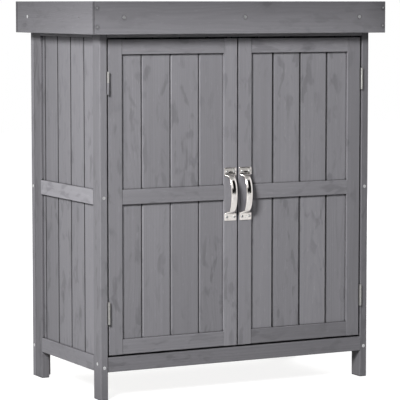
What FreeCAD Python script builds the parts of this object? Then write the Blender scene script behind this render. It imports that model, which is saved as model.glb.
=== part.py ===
import FreeCAD, Part
import math
import os
import re
import Sketcher

# Garden storage cabinet: a framed wooden cupboard on four short legs, with two panelled doors
# and a flat lid whose deep skirt hangs over the body like a cap.
# +X is to the right seen from the front, the doors face -Y and +Z is up.
# The origin is under the middle of the lid, at floor level. All sizes are in millimetres.

SIZES = [
    ("lid_width", 740, "outer width of the lid"),
    ("lid_depth", 440, "outer depth of the lid"),
    ("total_height", 880, "top of the lid above the floor"),
    ("skirt_height", 72, "height of the boards round the lid"),
    ("skirt_thick", 12, "thickness of the boards round the lid"),
    ("body_width", 690, "width of the body over its side panels"),
    ("body_front", 189, "distance from the middle of the lid forward to the posts' front faces"),
    ("body_back", 192, "distance from the middle of the lid back to the back panel's face"),
    ("body_top", 834, "top of the posts, where the lid rests"),
    ("frame_thick", 18, "thickness of posts, stiles and rails"),
    ("post_width", 37, "face width of the posts and of the back stiles"),
    ("rail_height", 33, "face height of all rails"),
    ("leg_height", 62, "clear height under the bottom rails"),
    ("mid_rail_low", 433, "lower edge of the middle rails"),
    ("board_thick", 12, "thickness of the panel boards"),
    ("rabbet_depth", 8, "how far the boards run behind the frame"),
    ("rabbet_slack", 0.5, "gap between a board and the bottom of its rabbet"),
    ("board_seam", 1.6, "gap between two boards"),
    ("vee", 2.2, "bevel on a board's visible edges"),
    ("tongue_length", 5, "how far a tongue stands out"),
    ("tongue_thick", 4, "thickness of a tongue"),
    ("groove_slack", 0.2, "play on each side of a tongue, and at its end"),
    ("post_round", 2.2, "rounding of the posts' outer edges"),
    ("edge_round", 1.2, "rounding of the other visible edges"),
    ("side_pitch", 71.7, "width of one side or back board"),
    ("side_first", 52.3, "first seam of a side panel, from its first post's outer edge"),
    ("back_first", 94.85, "first seam of the back panel"),
    ("door_recess", 2.5, "how far the door faces lie behind the posts' front faces"),
    ("door_gap", 3.4, "gap between door and post, and between the doors"),
    ("door_low", 99.5, "lower edge of the doors"),
    ("door_high", 797, "upper edge of the doors"),
    ("stile_width", 34, "face width of the door stiles"),
    ("door_pitch", 71.3, "width of one door board"),
    ("left_first", 85.7, "first seam of the left door, from its hinge edge"),
    ("right_first", 93.5, "first seam of the right door, from its lock edge"),
    ("slat_gap", 1.5, "gap between two floor or shelf boards"),
    ("floor_count", 9, "number of floor boards"),
    ("shelf_low", 451, "lower face of the shelf boards"),
    ("shelf_thick", 12, "thickness of the shelf boards"),
    ("shelf_front", 160, "distance forward to the shelf's front edge"),
    ("shelf_count", 5, "number of shelf boards"),
    ("batten_width", 18, "width and height of the battens in the body"),
    ("lid_board_thick", 18, "thickness of the boards in the lid"),
    ("lid_count", 6, "number of boards in the lid"),
    ("felt_thick", 2.5, "thickness of the roofing felt"),
    ("felt_margin", 1, "gap between the felt and the skirt"),
    ("screw_front_x", 300, "distance of the outer skirt screws from the middle"),
    ("screw_side_front", 136, "distance forward to the front screw in the skirt's side"),
    ("screw_side_back", 152, "distance back to the rear screw in the skirt's side"),
    ("nail_low", 824.5, "height of the lower corner nails"),
    ("nail_high", 865.5, "height of the upper corner nails"),
    ("screw_low", 72.5, "height of the screws in the bottom rails"),
    ("screw_mid", 449.5, "height of the screws in the middle rails"),
    ("screw_top", 817.5, "height of the screws in the top rails"),
    ("screw_skirt", 845, "height of the screws in the skirt"),
    ("screw_bottom_side", 80, "height of the screws from the side into the front bottom rail"),
    ("back_screw_low", 250, "height of the lower screws through the back stiles"),
    ("back_screw_high", 650, "height of the upper screws through the back stiles"),
    ("hole_slack", 0.15, "play round a screw"),
    ("door_hinge_low", 169, "lower end of the lower door hinges"),
    ("door_hinge_high", 676.5, "lower end of the upper door hinges"),
    ("door_hinge_length", 50, "length of a door hinge"),
    ("door_leaf_width", 18, "from the pin of a door hinge to the far edge of its leaf"),
    ("door_leaf_thick", 1.15, "thickness of a door hinge leaf"),
    ("door_barrel", 2.6, "outer radius of a door hinge's knuckles"),
    ("door_pin", 1.2, "radius of a door hinge's pin"),
    ("door_pin_forward", 2.5, "from the posts' front faces forward to the pin"),
    ("lid_hinge_length", 60, "length of a lid hinge"),
    ("lid_hinge_x", 230, "from the middle out to the middle of a lid hinge"),
    ("lid_leaf_thick", 1.5, "thickness of a lid hinge leaf"),
    ("lid_leaf_height", 26, "height of a lid hinge leaf above its pin"),
    ("lid_barrel", 3.5, "outer radius of a lid hinge's knuckles"),
    ("lid_pin", 1.75, "radius of a lid hinge's pin"),
    ("lid_pin_back", 3.9, "from the back panel's face back to the pin"),
    ("lid_pin_drop", 2, "from the skirt's lower edge down to the pin"),
    ("knuckle_gap", 0.3, "gap between two knuckles, and round a knuckle"),
    ("pin_slack", 0.05, "running clearance round a hinge pin"),
    ("handle_x", 19.5, "from the middle out to the middle of a handle"),
    ("handle_height", 445.5, "height of the middle of a handle"),
    ("handle_rise", 20, "from the door's face to the middle of the bow"),
    ("bow_radius", 52, "radius of the bow along its middle"),
    ("bow_width", 15.5, "width of the bow"),
    ("bow_thick", 2.6, "thickness of the bow at its edges"),
    ("bow_crown", 1.6, "how far the middle of the bow stands above its edges"),
    ("foot_width", 31, "width of a handle's foot"),
    ("foot_inner", 39, "from the middle of a handle to the near edge of a foot"),
    ("foot_outer", 60.5, "from the middle of a handle to the far edge of a foot"),
    ("foot_thick", 2, "thickness of a foot"),
    ("foot_round", 2.5, "rounding of a foot's corners"),
    ("foot_screw_x", 9.5, "from the middle of a foot out to its screws"),
    ("foot_screw_z", 51.5, "from the middle of a handle to its screws"),
    ("catch_x", 40, "from the middle out to the middle of a magnetic catch"),
    ("catch_width", 46, "width of a catch over its ears"),
    ("catch_body", 30, "width of a catch between its ears"),
    ("catch_height", 15, "height of a catch"),
    ("catch_ear", 3, "thickness of an ear"),
    ("catch_depth", 14, "depth of a catch from front to back"),
    ("catch_back", 152.5, "distance forward to the back of a catch"),
    ("pole_width", 26, "width of the magnet and its pole plates"),
    ("pole_depth", 11.2, "depth of a pole plate"),
    ("pole_thick", 1.4, "thickness of a pole plate"),
    ("magnet_thick", 3.6, "thickness of the magnet"),
    ("pole_proud", 0.8, "how far the pole plates stand out of the catch"),
    ("strike_width", 30, "width of a strike plate"),
    ("strike_height", 11, "height of a strike plate"),
    ("strike_thick", 1, "thickness of a strike plate"),
    ("strike_low", 786, "lower edge of a strike plate"),
]

# Each kind of fastener: shank radius, length, head radius and head height. A positive head height
# is a countersunk head let into the surface; a negative one is a domed head standing on it.
FASTENERS = {
    "frame_screw": (2.0, 58.0, 3.8, 2.6),
    "skirt_screw": (2.0, 34.0, 3.8, 2.6),
    "batten_screw": (1.75, 26.0, 3.4, 2.2),
    "corner_nail": (1.1, 34.0, 2.2, 0.8),
    "handle_screw": (1.6, 14.0, 3.1, -1.9),
    "leaf_screw": (1.3, 11.0, 2.3, 0.9),
    "lid_leaf_screw": (1.6, 9.0, 2.9, 1.3),
    "catch_screw": (1.4, 14.0, 2.6, 1.3),
    "strike_screw": (1.2, 10.0, 2.2, 0.8),
}

# The recess in a head and the outline of a domed head, as shares of its radius or its height.
CROSS_LENGTH = 0.62
CROSS_WIDTH = 0.16
CROSS_DEPTH = 0.6
DOME_FLAT = 0.55
DOME_SHOULDER_OUT = 0.9
DOME_SHOULDER_UP = 0.55

# Length of a fastener's point in millimetres.
POINT_LENGTH = 2.5

NO_TURN = FreeCAD.Rotation()
X_AXIS = FreeCAD.Vector(1, 0, 0)
Y_AXIS = FreeCAD.Vector(0, 1, 0)
Z_AXIS = FreeCAD.Vector(0, 0, 1)

doc = FreeCAD.newDocument("garden_storage_cabinet")
sheet = doc.addObject("Spreadsheet::Sheet", "Sizes")
for row, (alias, number, meaning) in enumerate(SIZES, start=1):
    sheet.set(f"A{row}", alias)
    sheet.set(f"B{row}", str(number))
    sheet.setAlias(f"B{row}", alias)
    sheet.set(f"C{row}", meaning)
doc.recompute()

ALIASES = {alias for alias, number, meaning in SIZES}

# Finished sub-parts by name, and what is still to be drilled or grouped.
subparts = {}
holes = {}
groups = {}


def bound(text):
    """Turn the sheet's words in a formula into references that a property can be bound to."""
    return re.sub(r"[a-z]\w*", lambda word: f"Sizes.{word[0]}" if word[0] in ALIASES else word[0], text)


def place(piece, at, turn=NO_TURN):
    """Turn a piece and bind its position to three formulas."""
    piece.Placement = FreeCAD.Placement(FreeCAD.Vector(), turn)
    for letter, text in zip("xyz", at):
        piece.setExpression(f"Placement.Base.{letter}", bound(text))


def base_plane(body, role):
    """One of the body's own three base planes."""
    return next(plane for plane in body.Origin.OriginFeatures if plane.Role == role)


def new_sketch(body, role, lift="0"):
    """An empty sketch on a base plane, lifted along the plane's normal."""
    sketch = body.newObject("Sketcher::SketchObject", "Sketch")
    sketch.AttachmentSupport = (base_plane(body, role), "")
    sketch.MapMode = "FlatFace"
    if lift != "0":
        sketch.setExpression("AttachmentOffset.Base.z", bound(lift))
    return sketch


def pin_down(sketch, geometry, end, across, up):
    """Fix one point of a sketch by two formulas measured from the sketch's origin."""
    rough = sketch.getPoint(geometry, end)
    for kind, text, start, axis in (("DistanceX", across, rough.x, -2), ("DistanceY", up, rough.y, -1)):
        if text == "0":
            sketch.addConstraint(Sketcher.Constraint("PointOnObject", geometry, end, axis))
        else:
            index = sketch.addConstraint(Sketcher.Constraint(kind, -1, 1, geometry, end, start))
            sketch.setExpression(f"Constraints[{index}]", bound(text))


def draw_loop(sketch, corners):
    """Draw a closed outline of straight lines through corners given as pairs of formulas."""
    count = len(corners)
    first = sketch.GeometryCount
    rough = [FreeCAD.Vector(math.cos(math.tau * i / count), math.sin(math.tau * i / count), 0)
             for i in range(count)]
    lines = [Part.LineSegment(rough[i], rough[(i + 1) % count]) for i in range(count)]
    sketch.addGeometry(lines, False)
    for i, (across, up) in enumerate(corners):
        follower = first + (i + 1) % count
        sketch.addConstraint(Sketcher.Constraint("Coincident", first + i, 2, follower, 1))
        pin_down(sketch, first + i, 1, across, up)


def draw_circle(sketch, across, up, radius):
    """Draw a circle whose centre and radius are formulas."""
    circle = sketch.addGeometry(Part.Circle(FreeCAD.Vector(), Z_AXIS, 1.0), False)
    pin_down(sketch, circle, 3, across, up)
    index = sketch.addConstraint(Sketcher.Constraint("Radius", circle, 1.0))
    sketch.setExpression(f"Constraints[{index}]", bound(radius))


def box_corners(left, right, low, high):
    """The four corners of an upright rectangle."""
    return [(left, low), (right, low), (right, high), (left, high)]


def pad(body, sketch, length, backwards=False):
    """Add material along the sketch's normal."""
    feature = body.newObject("PartDesign::Pad", "Pad")
    feature.Profile = sketch
    feature.Reversed = backwards
    feature.setExpression("Length", bound(length))
    return feature


def pocket(body, sketch, length, along_normal):
    """Cut material away, along the sketch's normal or against it."""
    feature = body.newObject("PartDesign::Pocket", "Pocket")
    feature.Profile = sketch
    feature.Reversed = along_normal
    feature.setExpression("Length", bound(length))
    return feature


def prism(label, role, corners, length, at, turn=NO_TURN):
    """A body made by padding one outline towards the positive side of its base plane."""
    body = doc.addObject("PartDesign::Body", label)
    sketch = new_sketch(body, role)
    draw_loop(sketch, corners)
    pad(body, sketch, length, backwards=role == "XZ_Plane")
    place(body, at, turn)
    return body


def long_edges(shape, axis, sides):
    """Names of the edges along an axis whose middle lies on the given sides of the box."""
    box = shape.BoundBox
    limits = {"x-": box.XMin, "x+": box.XMax, "y-": box.YMin, "y+": box.YMax, "z-": box.ZMin, "z+": box.ZMax}
    names = []
    for number, edge in enumerate(shape.Edges, start=1):
        middle = edge.CenterOfMass
        straight = abs(edge.Length - getattr(edge.BoundBox, axis.upper() + "Length")) < 1e-6
        on_sides = all(abs(getattr(middle, side[0]) - limits[side]) < 1e-6 for side in sides)
        if straight and on_sides:
            names.append(f"Edge{number}")
    return names


def round_edges(body, axis, places, radius):
    """Round the long edges that lie on each pair of sides."""
    doc.recompute()
    base = body.Tip
    names = [name for sides in places for name in long_edges(base.Shape, axis, sides)]
    feature = body.newObject("PartDesign::Fillet", "Fillet")
    feature.Base = (base, names)
    feature.setExpression("Radius", bound(radius))
    return feature


def keep(label, piece):
    """Name a finished sub-part and put it on the list."""
    piece.Label = label
    subparts[label] = piece
    return piece


def compound(label, pieces):
    """Several separate solids under one name."""
    group = doc.addObject("Part::Compound", label)
    group.Links = pieces
    return group


class Panel:
    """A framed panel seen from outside: its x runs to the right, its y inwards and its z up."""

    # Cosine and sine of the panel's turn about Z.
    COMPASS = {0: (1, 0), 90: (0, 1), 180: (-1, 0), -90: (0, -1)}

    def __init__(self, name, corner, turn, width, stile, levels, boards):
        self.name = name
        self.corner = corner
        self.cos, self.sin = self.COMPASS[turn]
        self.turn = FreeCAD.Rotation(Z_AXIS, turn)
        self.width = width
        self.stile = stile
        self.foot, self.bottom, self.mid, self.top, self.head = levels
        self.boards = boards

    def spot(self, along, inward, up):
        """Formulas of a point of the panel in the cabinet's frame."""
        corner_x, corner_y = self.corner
        x = f"{corner_x} + ({along}) * {self.cos} - ({inward}) * {self.sin}"
        y = f"{corner_y} + ({along}) * {self.sin} + ({inward}) * {self.cos}"
        return x, y, up

    def fields(self):
        """The two openings, each from its lower rail's top to its upper rail's lower edge."""
        lower = (f"{self.bottom} + rail_height", self.mid)
        upper = (f"{self.mid} + rail_height", self.top)
        return lower, upper

    def make_stile(self, label, far, rounding, sides):
        """An upright with a rabbet behind each opening, stopped short of the rails."""
        left = f"{self.width} - {self.stile}" if far else "0"
        height = f"{self.head} - {self.foot}"
        body = prism(label, "XY_Plane", box_corners("0", self.stile, "0", "frame_thick"), height,
                     self.spot(left, "0", self.foot), self.turn)
        near_edge = "0" if far else f"{self.stile} - rabbet_depth"
        far_edge = "rabbet_depth" if far else self.stile
        sketch = new_sketch(body, "XZ_Plane", "-frame_thick")
        for low, high in self.fields():
            start = f"{low} - rabbet_depth - ({self.foot})"
            end = f"{high} + rabbet_depth - ({self.foot})"
            draw_loop(sketch, box_corners(near_edge, far_edge, start, end))
        pocket(body, sketch, "board_thick", along_normal=True)
        outer_side, panel_side = ("x+", "x-") if far else ("x-", "x+")
        round_edges(body, "z", [(outer_side, side) for side in sides], rounding)
        round_edges(body, "z", [(panel_side, "y-")], "edge_round")
        return keep(label, body)

    def make_rail(self, label, low, rabbet_below, rabbet_above):
        """A cross piece whose section loses a rabbet where boards meet it."""
        shallow = "frame_thick - board_thick"
        corners = [("0", "0")]
        if rabbet_below:
            corners += [(shallow, "0"), (shallow, "rabbet_depth"), ("frame_thick", "rabbet_depth")]
        else:
            corners += [("frame_thick", "0")]
        if rabbet_above:
            step = "rail_height - rabbet_depth"
            corners += [("frame_thick", step), (shallow, step), (shallow, "rail_height")]
        else:
            corners += [("frame_thick", "rail_height")]
        corners += [("0", "rail_height")]
        body = prism(label, "YZ_Plane", corners, f"{self.width} - 2 * ({self.stile})",
                     self.spot(self.stile, "0", low), self.turn)
        round_edges(body, "x", [("y-", "z-"), ("y-", "z+")], "edge_round")
        return keep(label, body)

    def make_boards(self, label):
        """Tongued and grooved boards in both openings; the outer ones are cut to width."""
        first, pitch, seams = self.boards
        edges = [f"{self.stile} - rabbet_depth + rabbet_slack"]
        edges += [f"{first} + {i} * {pitch}" for i in range(seams)]
        edges.append(f"{self.width} - ({self.stile}) + rabbet_depth - rabbet_slack + board_seam")
        boards = []
        for low, high in self.fields():
            start = f"{low} - rabbet_depth + rabbet_slack"
            length = f"{high} + rabbet_depth - rabbet_slack - ({start})"
            for i in range(len(edges) - 1):
                width = f"{edges[i + 1]} - ({edges[i]}) - board_seam"
                tongue = i > 0
                groove = i < len(edges) - 2
                corner = self.spot(edges[i], "frame_thick - board_thick", start)
                boards.append(prism(f"{self.name}_board", "XY_Plane",
                                    board_corners(width, "board_thick", tongue, groove),
                                    length, corner, self.turn))
        return keep(label, compound(label, boards))


def board_corners(width, thick, tongue, groove):
    """Section of a board with its bevelled visible face on y = 0."""
    low = f"({thick} - tongue_thick) / 2"
    high = f"({thick} + tongue_thick) / 2"
    corners = [("0", "0")]
    if tongue:
        corners = [("vee", "0"), ("0", "vee"), ("0", low), ("-tongue_length", low),
                   ("-tongue_length", high), ("0", high)]
        corners.reverse()
        corners = [("0", thick)] + corners
    else:
        corners = [("0", thick), ("0", "0")]
    if groove:
        bottom = f"{width} - tongue_length - groove_slack"
        corners += [(f"{width} - vee", "0"), (width, "vee"), (width, f"{low} - groove_slack"),
                    (bottom, f"{low} - groove_slack"), (bottom, f"{high} + groove_slack"),
                    (width, f"{high} + groove_slack"), (width, thick)]
    else:
        corners += [(width, "0"), (width, thick)]
    return corners


def make_panel(panel, near_stile, far_stile, rounding, rounded_sides):
    """All the pieces of one framed panel."""
    panel.make_stile(near_stile, False, rounding, rounded_sides)
    panel.make_stile(far_stile, True, rounding, rounded_sides)
    panel.make_rail(f"{panel.name}_bottom_rail", panel.bottom, False, True)
    panel.make_rail(f"{panel.name}_mid_rail", panel.mid, True, True)
    panel.make_rail(f"{panel.name}_top_rail", panel.top, True, False)
    panel.make_boards(f"{panel.name}_boards")


def revolved(label, corners):
    """A body turned about its own Z axis from an outline of (radius, height) points."""
    body = doc.addObject("PartDesign::Body", label)
    sketch = new_sketch(body, "XZ_Plane")
    draw_loop(sketch, corners)
    turning = body.newObject("PartDesign::Revolution", "Revolution")
    turning.Profile = sketch
    turning.ReferenceAxis = (sketch, ["V_Axis"])
    turning.Angle = 360
    return body


def fastener_corners(kind, slack):
    """Outline of a fastener that points along +Z from the surface at height 0."""
    shank, length, head, head_height = FASTENERS[kind]
    wide = head + slack
    narrow = shank + slack
    end = length + slack
    if head_height > 0:
        outer = [(0, 0), (wide, 0), (narrow, head_height + slack)]
    elif slack:
        outer = [(0, 0), (narrow, 0)]
    else:
        outer = [(0, head_height), (head * DOME_FLAT, head_height),
                 (head * DOME_SHOULDER_OUT, head_height * DOME_SHOULDER_UP), (head, 0), (narrow, 0)]
    outer += [(narrow, end - POINT_LENGTH), (0, end)]
    return [(f"{radius:g}", f"{height:g}") for radius, height in outer]


def make_fastener(kind):
    """A fastener with a cross recess in its head, unless it is a nail, and the hole that it needs."""
    shank, length, head, head_height = FASTENERS[kind]
    screw = revolved(kind, fastener_corners(kind, 0))
    if "screw" in kind:
        reach = head * CROSS_LENGTH
        half = head * CROSS_WIDTH
        star = [(reach, -half), (reach, half), (half, half), (half, reach), (-half, reach), (-half, half),
                (-reach, half), (-reach, -half), (-half, -half), (-half, -reach), (half, -reach),
                (half, -half)]
        sketch = new_sketch(screw, "XY_Plane", f"{min(head_height, 0):g}")
        draw_loop(sketch, [(f"{x:g}", f"{y:g}") for x, y in star])
        pocket(screw, sketch, f"{abs(head_height) * CROSS_DEPTH:g}", along_normal=True)
    hole = revolved(f"{kind}_hole", fastener_corners(kind, sheet.hole_slack))
    return screw, hole


fastener_kinds = {}


def fasten(group, kind, at, direction, *through):
    """Add one fastener to a group and its hole to each piece that it passes through."""
    if kind not in fastener_kinds:
        fastener_kinds[kind] = make_fastener(kind)
    screw, hole = fastener_kinds[kind]
    turn = FreeCAD.Rotation(Z_AXIS, direction)
    copies = []
    for original in (screw, hole):
        copy = doc.addObject("App::Link", f"{kind}_copy")
        copy.LinkedObject = original
        place(copy, at, turn)
        copies.append(copy)
    groups.setdefault(group, []).append(copies[0])
    for label in through:
        holes.setdefault(label, []).append(copies[1])


def drill_holes():
    """Cut every collected hole out of its piece, which keeps its name."""
    for label, tools in holes.items():
        blank = subparts[label]
        blank.Label = f"{label}_blank"
        cut = doc.addObject("Part::Cut", f"{label}_drilled")
        cut.Base = blank
        cut.Tool = compound(f"{label}_holes", tools)
        keep(label, cut)


# The body: two side panels, a back panel between their rear posts' faces, and two front rails.
LEFT_FACE = "-body_width / 2"
RIGHT_FACE = "body_width / 2"
INNER_WIDTH = "body_width - 2 * frame_thick"
SIDE_DEPTH = "body_front + body_back - frame_thick"
TOP_RAIL_LOW = "body_top - rail_height"
BODY_LEVELS = ("0", "leg_height", "mid_rail_low", TOP_RAIL_LOW, "body_top")
SIDE_BOARDS = ("side_first", "side_pitch", 4)

left_side = Panel("left_side", (LEFT_FACE, "body_back - frame_thick"), -90, SIDE_DEPTH, "post_width",
                  BODY_LEVELS, SIDE_BOARDS)
right_side = Panel("right_side", (RIGHT_FACE, "-body_front"), 90, SIDE_DEPTH, "post_width",
                   BODY_LEVELS, SIDE_BOARDS)
back = Panel("back", (RIGHT_FACE, "body_back"), 180, "body_width", "post_width",
             BODY_LEVELS, ("back_first", "side_pitch", 8))

make_panel(left_side, "rear_left_post", "front_left_post", "post_round", ("y-", "y+"))
make_panel(right_side, "front_right_post", "rear_right_post", "post_round", ("y-", "y+"))
make_panel(back, "back_right_stile", "back_left_stile", "post_round", ("y-",))


def make_front_rail(label, low):
    """A cross piece between the front posts, as deep as they are."""
    body = prism(label, "YZ_Plane", box_corners("0", "post_width", "0", "rail_height"), INNER_WIDTH,
                 (f"{LEFT_FACE} + frame_thick", "-body_front", low))
    round_edges(body, "x", [("y-", "z-"), ("y-", "z+")], "edge_round")
    return keep(label, body)


make_front_rail("front_bottom_rail", "leg_height")
make_front_rail("front_top_rail", TOP_RAIL_LOW)


# The doors: each panel starts at its left edge, seen from the front.
DOOR_WIDTH = "(body_width - 2 * frame_thick - 3 * door_gap) / 2"
DOOR_FACE = "-body_front + door_recess"
DOOR_LEVELS = ("door_low", "door_low", "mid_rail_low", "door_high - rail_height", "door_high")

left_door = Panel("left_door", (f"{LEFT_FACE} + frame_thick + door_gap", DOOR_FACE), 0, DOOR_WIDTH,
                  "stile_width", DOOR_LEVELS, ("left_first", "door_pitch", 3))
right_door = Panel("right_door", ("door_gap / 2", DOOR_FACE), 0, DOOR_WIDTH,
                   "stile_width", DOOR_LEVELS, ("right_first", "door_pitch", 3))

make_panel(left_door, "left_door_hinge_stile", "left_door_lock_stile", "edge_round", ("y-",))
make_panel(right_door, "right_door_lock_stile", "right_door_hinge_stile", "edge_round", ("y-",))


# Inside: a slatted floor on two battens along the front and the back, and a shelf on two side battens.
BATTEN = box_corners("0", "batten_width", "0", "batten_width")
FLOOR_FRONT = "-body_front + post_width"
INNER_BACK = "body_back - frame_thick"
FLOOR_LOW = "leg_height + rail_height - board_thick"
INNER_LEFT = f"{LEFT_FACE} + frame_thick"

floor_battens = [
    prism("front_batten", "YZ_Plane", BATTEN, INNER_WIDTH,
          (INNER_LEFT, FLOOR_FRONT, f"{FLOOR_LOW} - batten_width")),
    prism("rear_batten", "YZ_Plane", BATTEN, INNER_WIDTH,
          (INNER_LEFT, f"{INNER_BACK} - batten_width", f"{FLOOR_LOW} - batten_width")),
]
SHELF_BATTEN_LENGTH = f"{INNER_BACK} + body_front - post_width"
shelf_battens = [
    prism("left_batten", "XZ_Plane", BATTEN, SHELF_BATTEN_LENGTH,
          (INNER_LEFT, FLOOR_FRONT, "shelf_low - batten_width")),
    prism("right_batten", "XZ_Plane", BATTEN, SHELF_BATTEN_LENGTH,
          (f"{RIGHT_FACE} - frame_thick - batten_width", FLOOR_FRONT, "shelf_low - batten_width")),
]
keep("inner_battens", compound("inner_battens", floor_battens + shelf_battens))

floor_pitch = f"(({INNER_WIDTH}) / floor_count)"
floor_boards = [
    prism("floor_board", "XZ_Plane", box_corners("0", f"{floor_pitch} - slat_gap", "0", "board_thick"),
          f"{SHELF_BATTEN_LENGTH} - slat_gap",
          (f"{INNER_LEFT} + slat_gap / 2 + {i} * {floor_pitch}", f"{FLOOR_FRONT} + slat_gap / 2", FLOOR_LOW))
    for i in range(int(sheet.floor_count))
]
keep("floor_boards", compound("floor_boards", floor_boards))

shelf_pitch = f"(({INNER_BACK} + shelf_front) / shelf_count)"
shelf_boards = [
    prism("shelf_board", "YZ_Plane", box_corners("0", f"{shelf_pitch} - slat_gap", "0", "shelf_thick"),
          f"{INNER_WIDTH} - slat_gap",
          (f"{INNER_LEFT} + slat_gap / 2", f"-shelf_front + {i} * {shelf_pitch}", "shelf_low"))
    for i in range(int(sheet.shelf_count))
]
keep("shelf_boards", compound("shelf_boards", shelf_boards))


# The lid: four skirt boards, flat battens that rest on the body, boards on them and roofing felt.
SKIRT_LOW = "total_height - skirt_height"
LID_BOARD_LOW = "body_top + frame_thick"
INNER_LID_WIDTH = "lid_width - 2 * skirt_thick"
INNER_LID_DEPTH = "lid_depth - 2 * skirt_thick"


def make_long_skirt(label, y, outer_side):
    """A skirt board across the whole width, with its outer edges rounded."""
    body = prism(label, "YZ_Plane", box_corners("0", "skirt_thick", "0", "skirt_height"), "lid_width",
                 ("-lid_width / 2", y, SKIRT_LOW))
    round_edges(body, "x", [(outer_side, "z-"), (outer_side, "z+")], "edge_round")
    return keep(label, body)


def make_short_skirt(label, x, outer_side):
    """A skirt board between the two long ones."""
    body = prism(label, "XZ_Plane", box_corners("0", "skirt_thick", "0", "skirt_height"), INNER_LID_DEPTH,
                 (x, f"-({INNER_LID_DEPTH}) / 2", SKIRT_LOW))
    round_edges(body, "y", [(outer_side, "z-"), (outer_side, "z+")], "edge_round")
    return keep(label, body)


make_long_skirt("lid_front_board", "-lid_depth / 2", "y-")
make_long_skirt("lid_rear_board", "lid_depth / 2 - skirt_thick", "y+")
make_short_skirt("lid_left_board", "-lid_width / 2", "x-")
make_short_skirt("lid_right_board", "lid_width / 2 - skirt_thick", "x+")

FLAT_BATTEN = box_corners("0", "post_width", "0", "frame_thick")
lid_battens = [
    prism("lid_batten", "YZ_Plane", FLAT_BATTEN, INNER_LID_WIDTH,
          (f"-({INNER_LID_WIDTH}) / 2", y, "body_top"))
    for y in (f"-({INNER_LID_DEPTH}) / 2", f"({INNER_LID_DEPTH}) / 2 - post_width")
] + [
    prism("lid_batten", "XZ_Plane", FLAT_BATTEN, f"{INNER_LID_DEPTH} - 2 * post_width",
          (x, f"-({INNER_LID_DEPTH}) / 2 + post_width", "body_top"))
    for x in (f"-({INNER_LID_WIDTH}) / 2", f"({INNER_LID_WIDTH}) / 2 - post_width")
]
keep("lid_battens", compound("lid_battens", lid_battens))

lid_pitch = f"(({INNER_LID_DEPTH}) / lid_count)"
lid_count = int(sheet.lid_count)
lid_boards = [
    prism("lid_board", "YZ_Plane",
          board_corners(f"{lid_pitch} - board_seam", "lid_board_thick", i > 0, i < lid_count - 1),
          f"{INNER_LID_WIDTH} - 2 * rabbet_slack",
          (f"-({INNER_LID_WIDTH}) / 2 + rabbet_slack",
           f"-({INNER_LID_DEPTH}) / 2 + board_seam / 2 + {i} * {lid_pitch}", LID_BOARD_LOW))
    for i in range(lid_count)
]
keep("lid_top_boards", compound("lid_top_boards", lid_boards))

keep("lid_felt", prism(
    "lid_felt", "XY_Plane",
    box_corners("0", f"{INNER_LID_WIDTH} - 2 * felt_margin", "0", f"{INNER_LID_DEPTH} - 2 * felt_margin"),
    "felt_thick",
    (f"-({INNER_LID_WIDTH}) / 2 + felt_margin", f"-({INNER_LID_DEPTH}) / 2 + felt_margin",
     f"{LID_BOARD_LOW} + lid_board_thick")))


def make_leaf(label, plate, barrel, pin, length, slots, at, turn=NO_TURN):
    """A hinge leaf about a pin on its own Z axis, cut back where the other leaf has its knuckles."""
    body = prism(label, "XY_Plane", plate, length, at, turn)
    rolled = new_sketch(body, "XY_Plane")
    draw_circle(rolled, "0", "0", barrel)
    pad(body, rolled, length)
    for low, high in slots:
        sketch = new_sketch(body, "XY_Plane", low)
        draw_circle(sketch, "0", "0", f"{barrel} + knuckle_gap")
        pocket(body, sketch, f"{high} - ({low})", along_normal=True)
    bore = new_sketch(body, "XY_Plane")
    draw_circle(bore, "0", "0", f"{pin} + pin_slack")
    pocket(body, bore, length, along_normal=True)
    return body


def knuckle_slots(length, fixed):
    """Stretches along a hinge of five knuckles that belong to the other leaf."""
    half = "knuckle_gap / 2"
    cuts = []
    for i in range(5):
        if (i % 2 == 0) != fixed:
            low = f"{i} * {length} / 5 - {half}" if i > 0 else "-knuckle_gap"
            high = f"{i + 1} * {length} / 5 + {half}" if i < 4 else f"{length} + knuckle_gap"
            cuts.append((low, high))
    return cuts


def make_pin(label, radius, length, at, turn=NO_TURN):
    """A hinge pin along its own Z axis."""
    pin = doc.addObject("Part::Cylinder", label)
    pin.setExpression("Radius", bound(radius))
    pin.setExpression("Height", bound(length))
    place(pin, at, turn)
    return pin


# Door hinges: the leaves stand in the gap between post and door, with the knuckles in front of it.
DOOR_PIN_Y = "-body_front - door_pin_forward"
DOOR_HINGES = ("door_hinge_low", "door_hinge_high")
post_leaves = []
door_pins = []
for side, sign in (("left", "-1"), ("right", "1")):
    pin_x = f"{sign} * (body_width / 2 - frame_thick - door_gap / 2)"
    door_leaves = []
    for low in DOOR_HINGES:
        spot = (pin_x, DOOR_PIN_Y, low)
        near = "(door_gap / 2 - door_leaf_thick)"
        far = "door_gap / 2"
        on_post = box_corners(f"{sign} * {near}", f"{sign} * {far}", "0", "door_leaf_width")
        on_door = box_corners(f"-{sign} * {near}", f"-{sign} * {far}", "0", "door_leaf_width")
        for plate, fixed, leaves in ((on_post, True, post_leaves), (on_door, False, door_leaves)):
            leaves.append(make_leaf(f"{side}_leaf", plate, "door_barrel", "door_pin", "door_hinge_length",
                                    knuckle_slots("door_hinge_length", fixed), spot))
        door_pins.append(make_pin("door_pin", "door_pin", "door_hinge_length", spot))
    keep(f"{side}_door_hinge_leaves", compound(f"{side}_door_hinge_leaves", door_leaves))
keep("post_hinge_leaves", compound("post_hinge_leaves", post_leaves))
keep("door_hinge_pins", compound("door_hinge_pins", door_pins))

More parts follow.
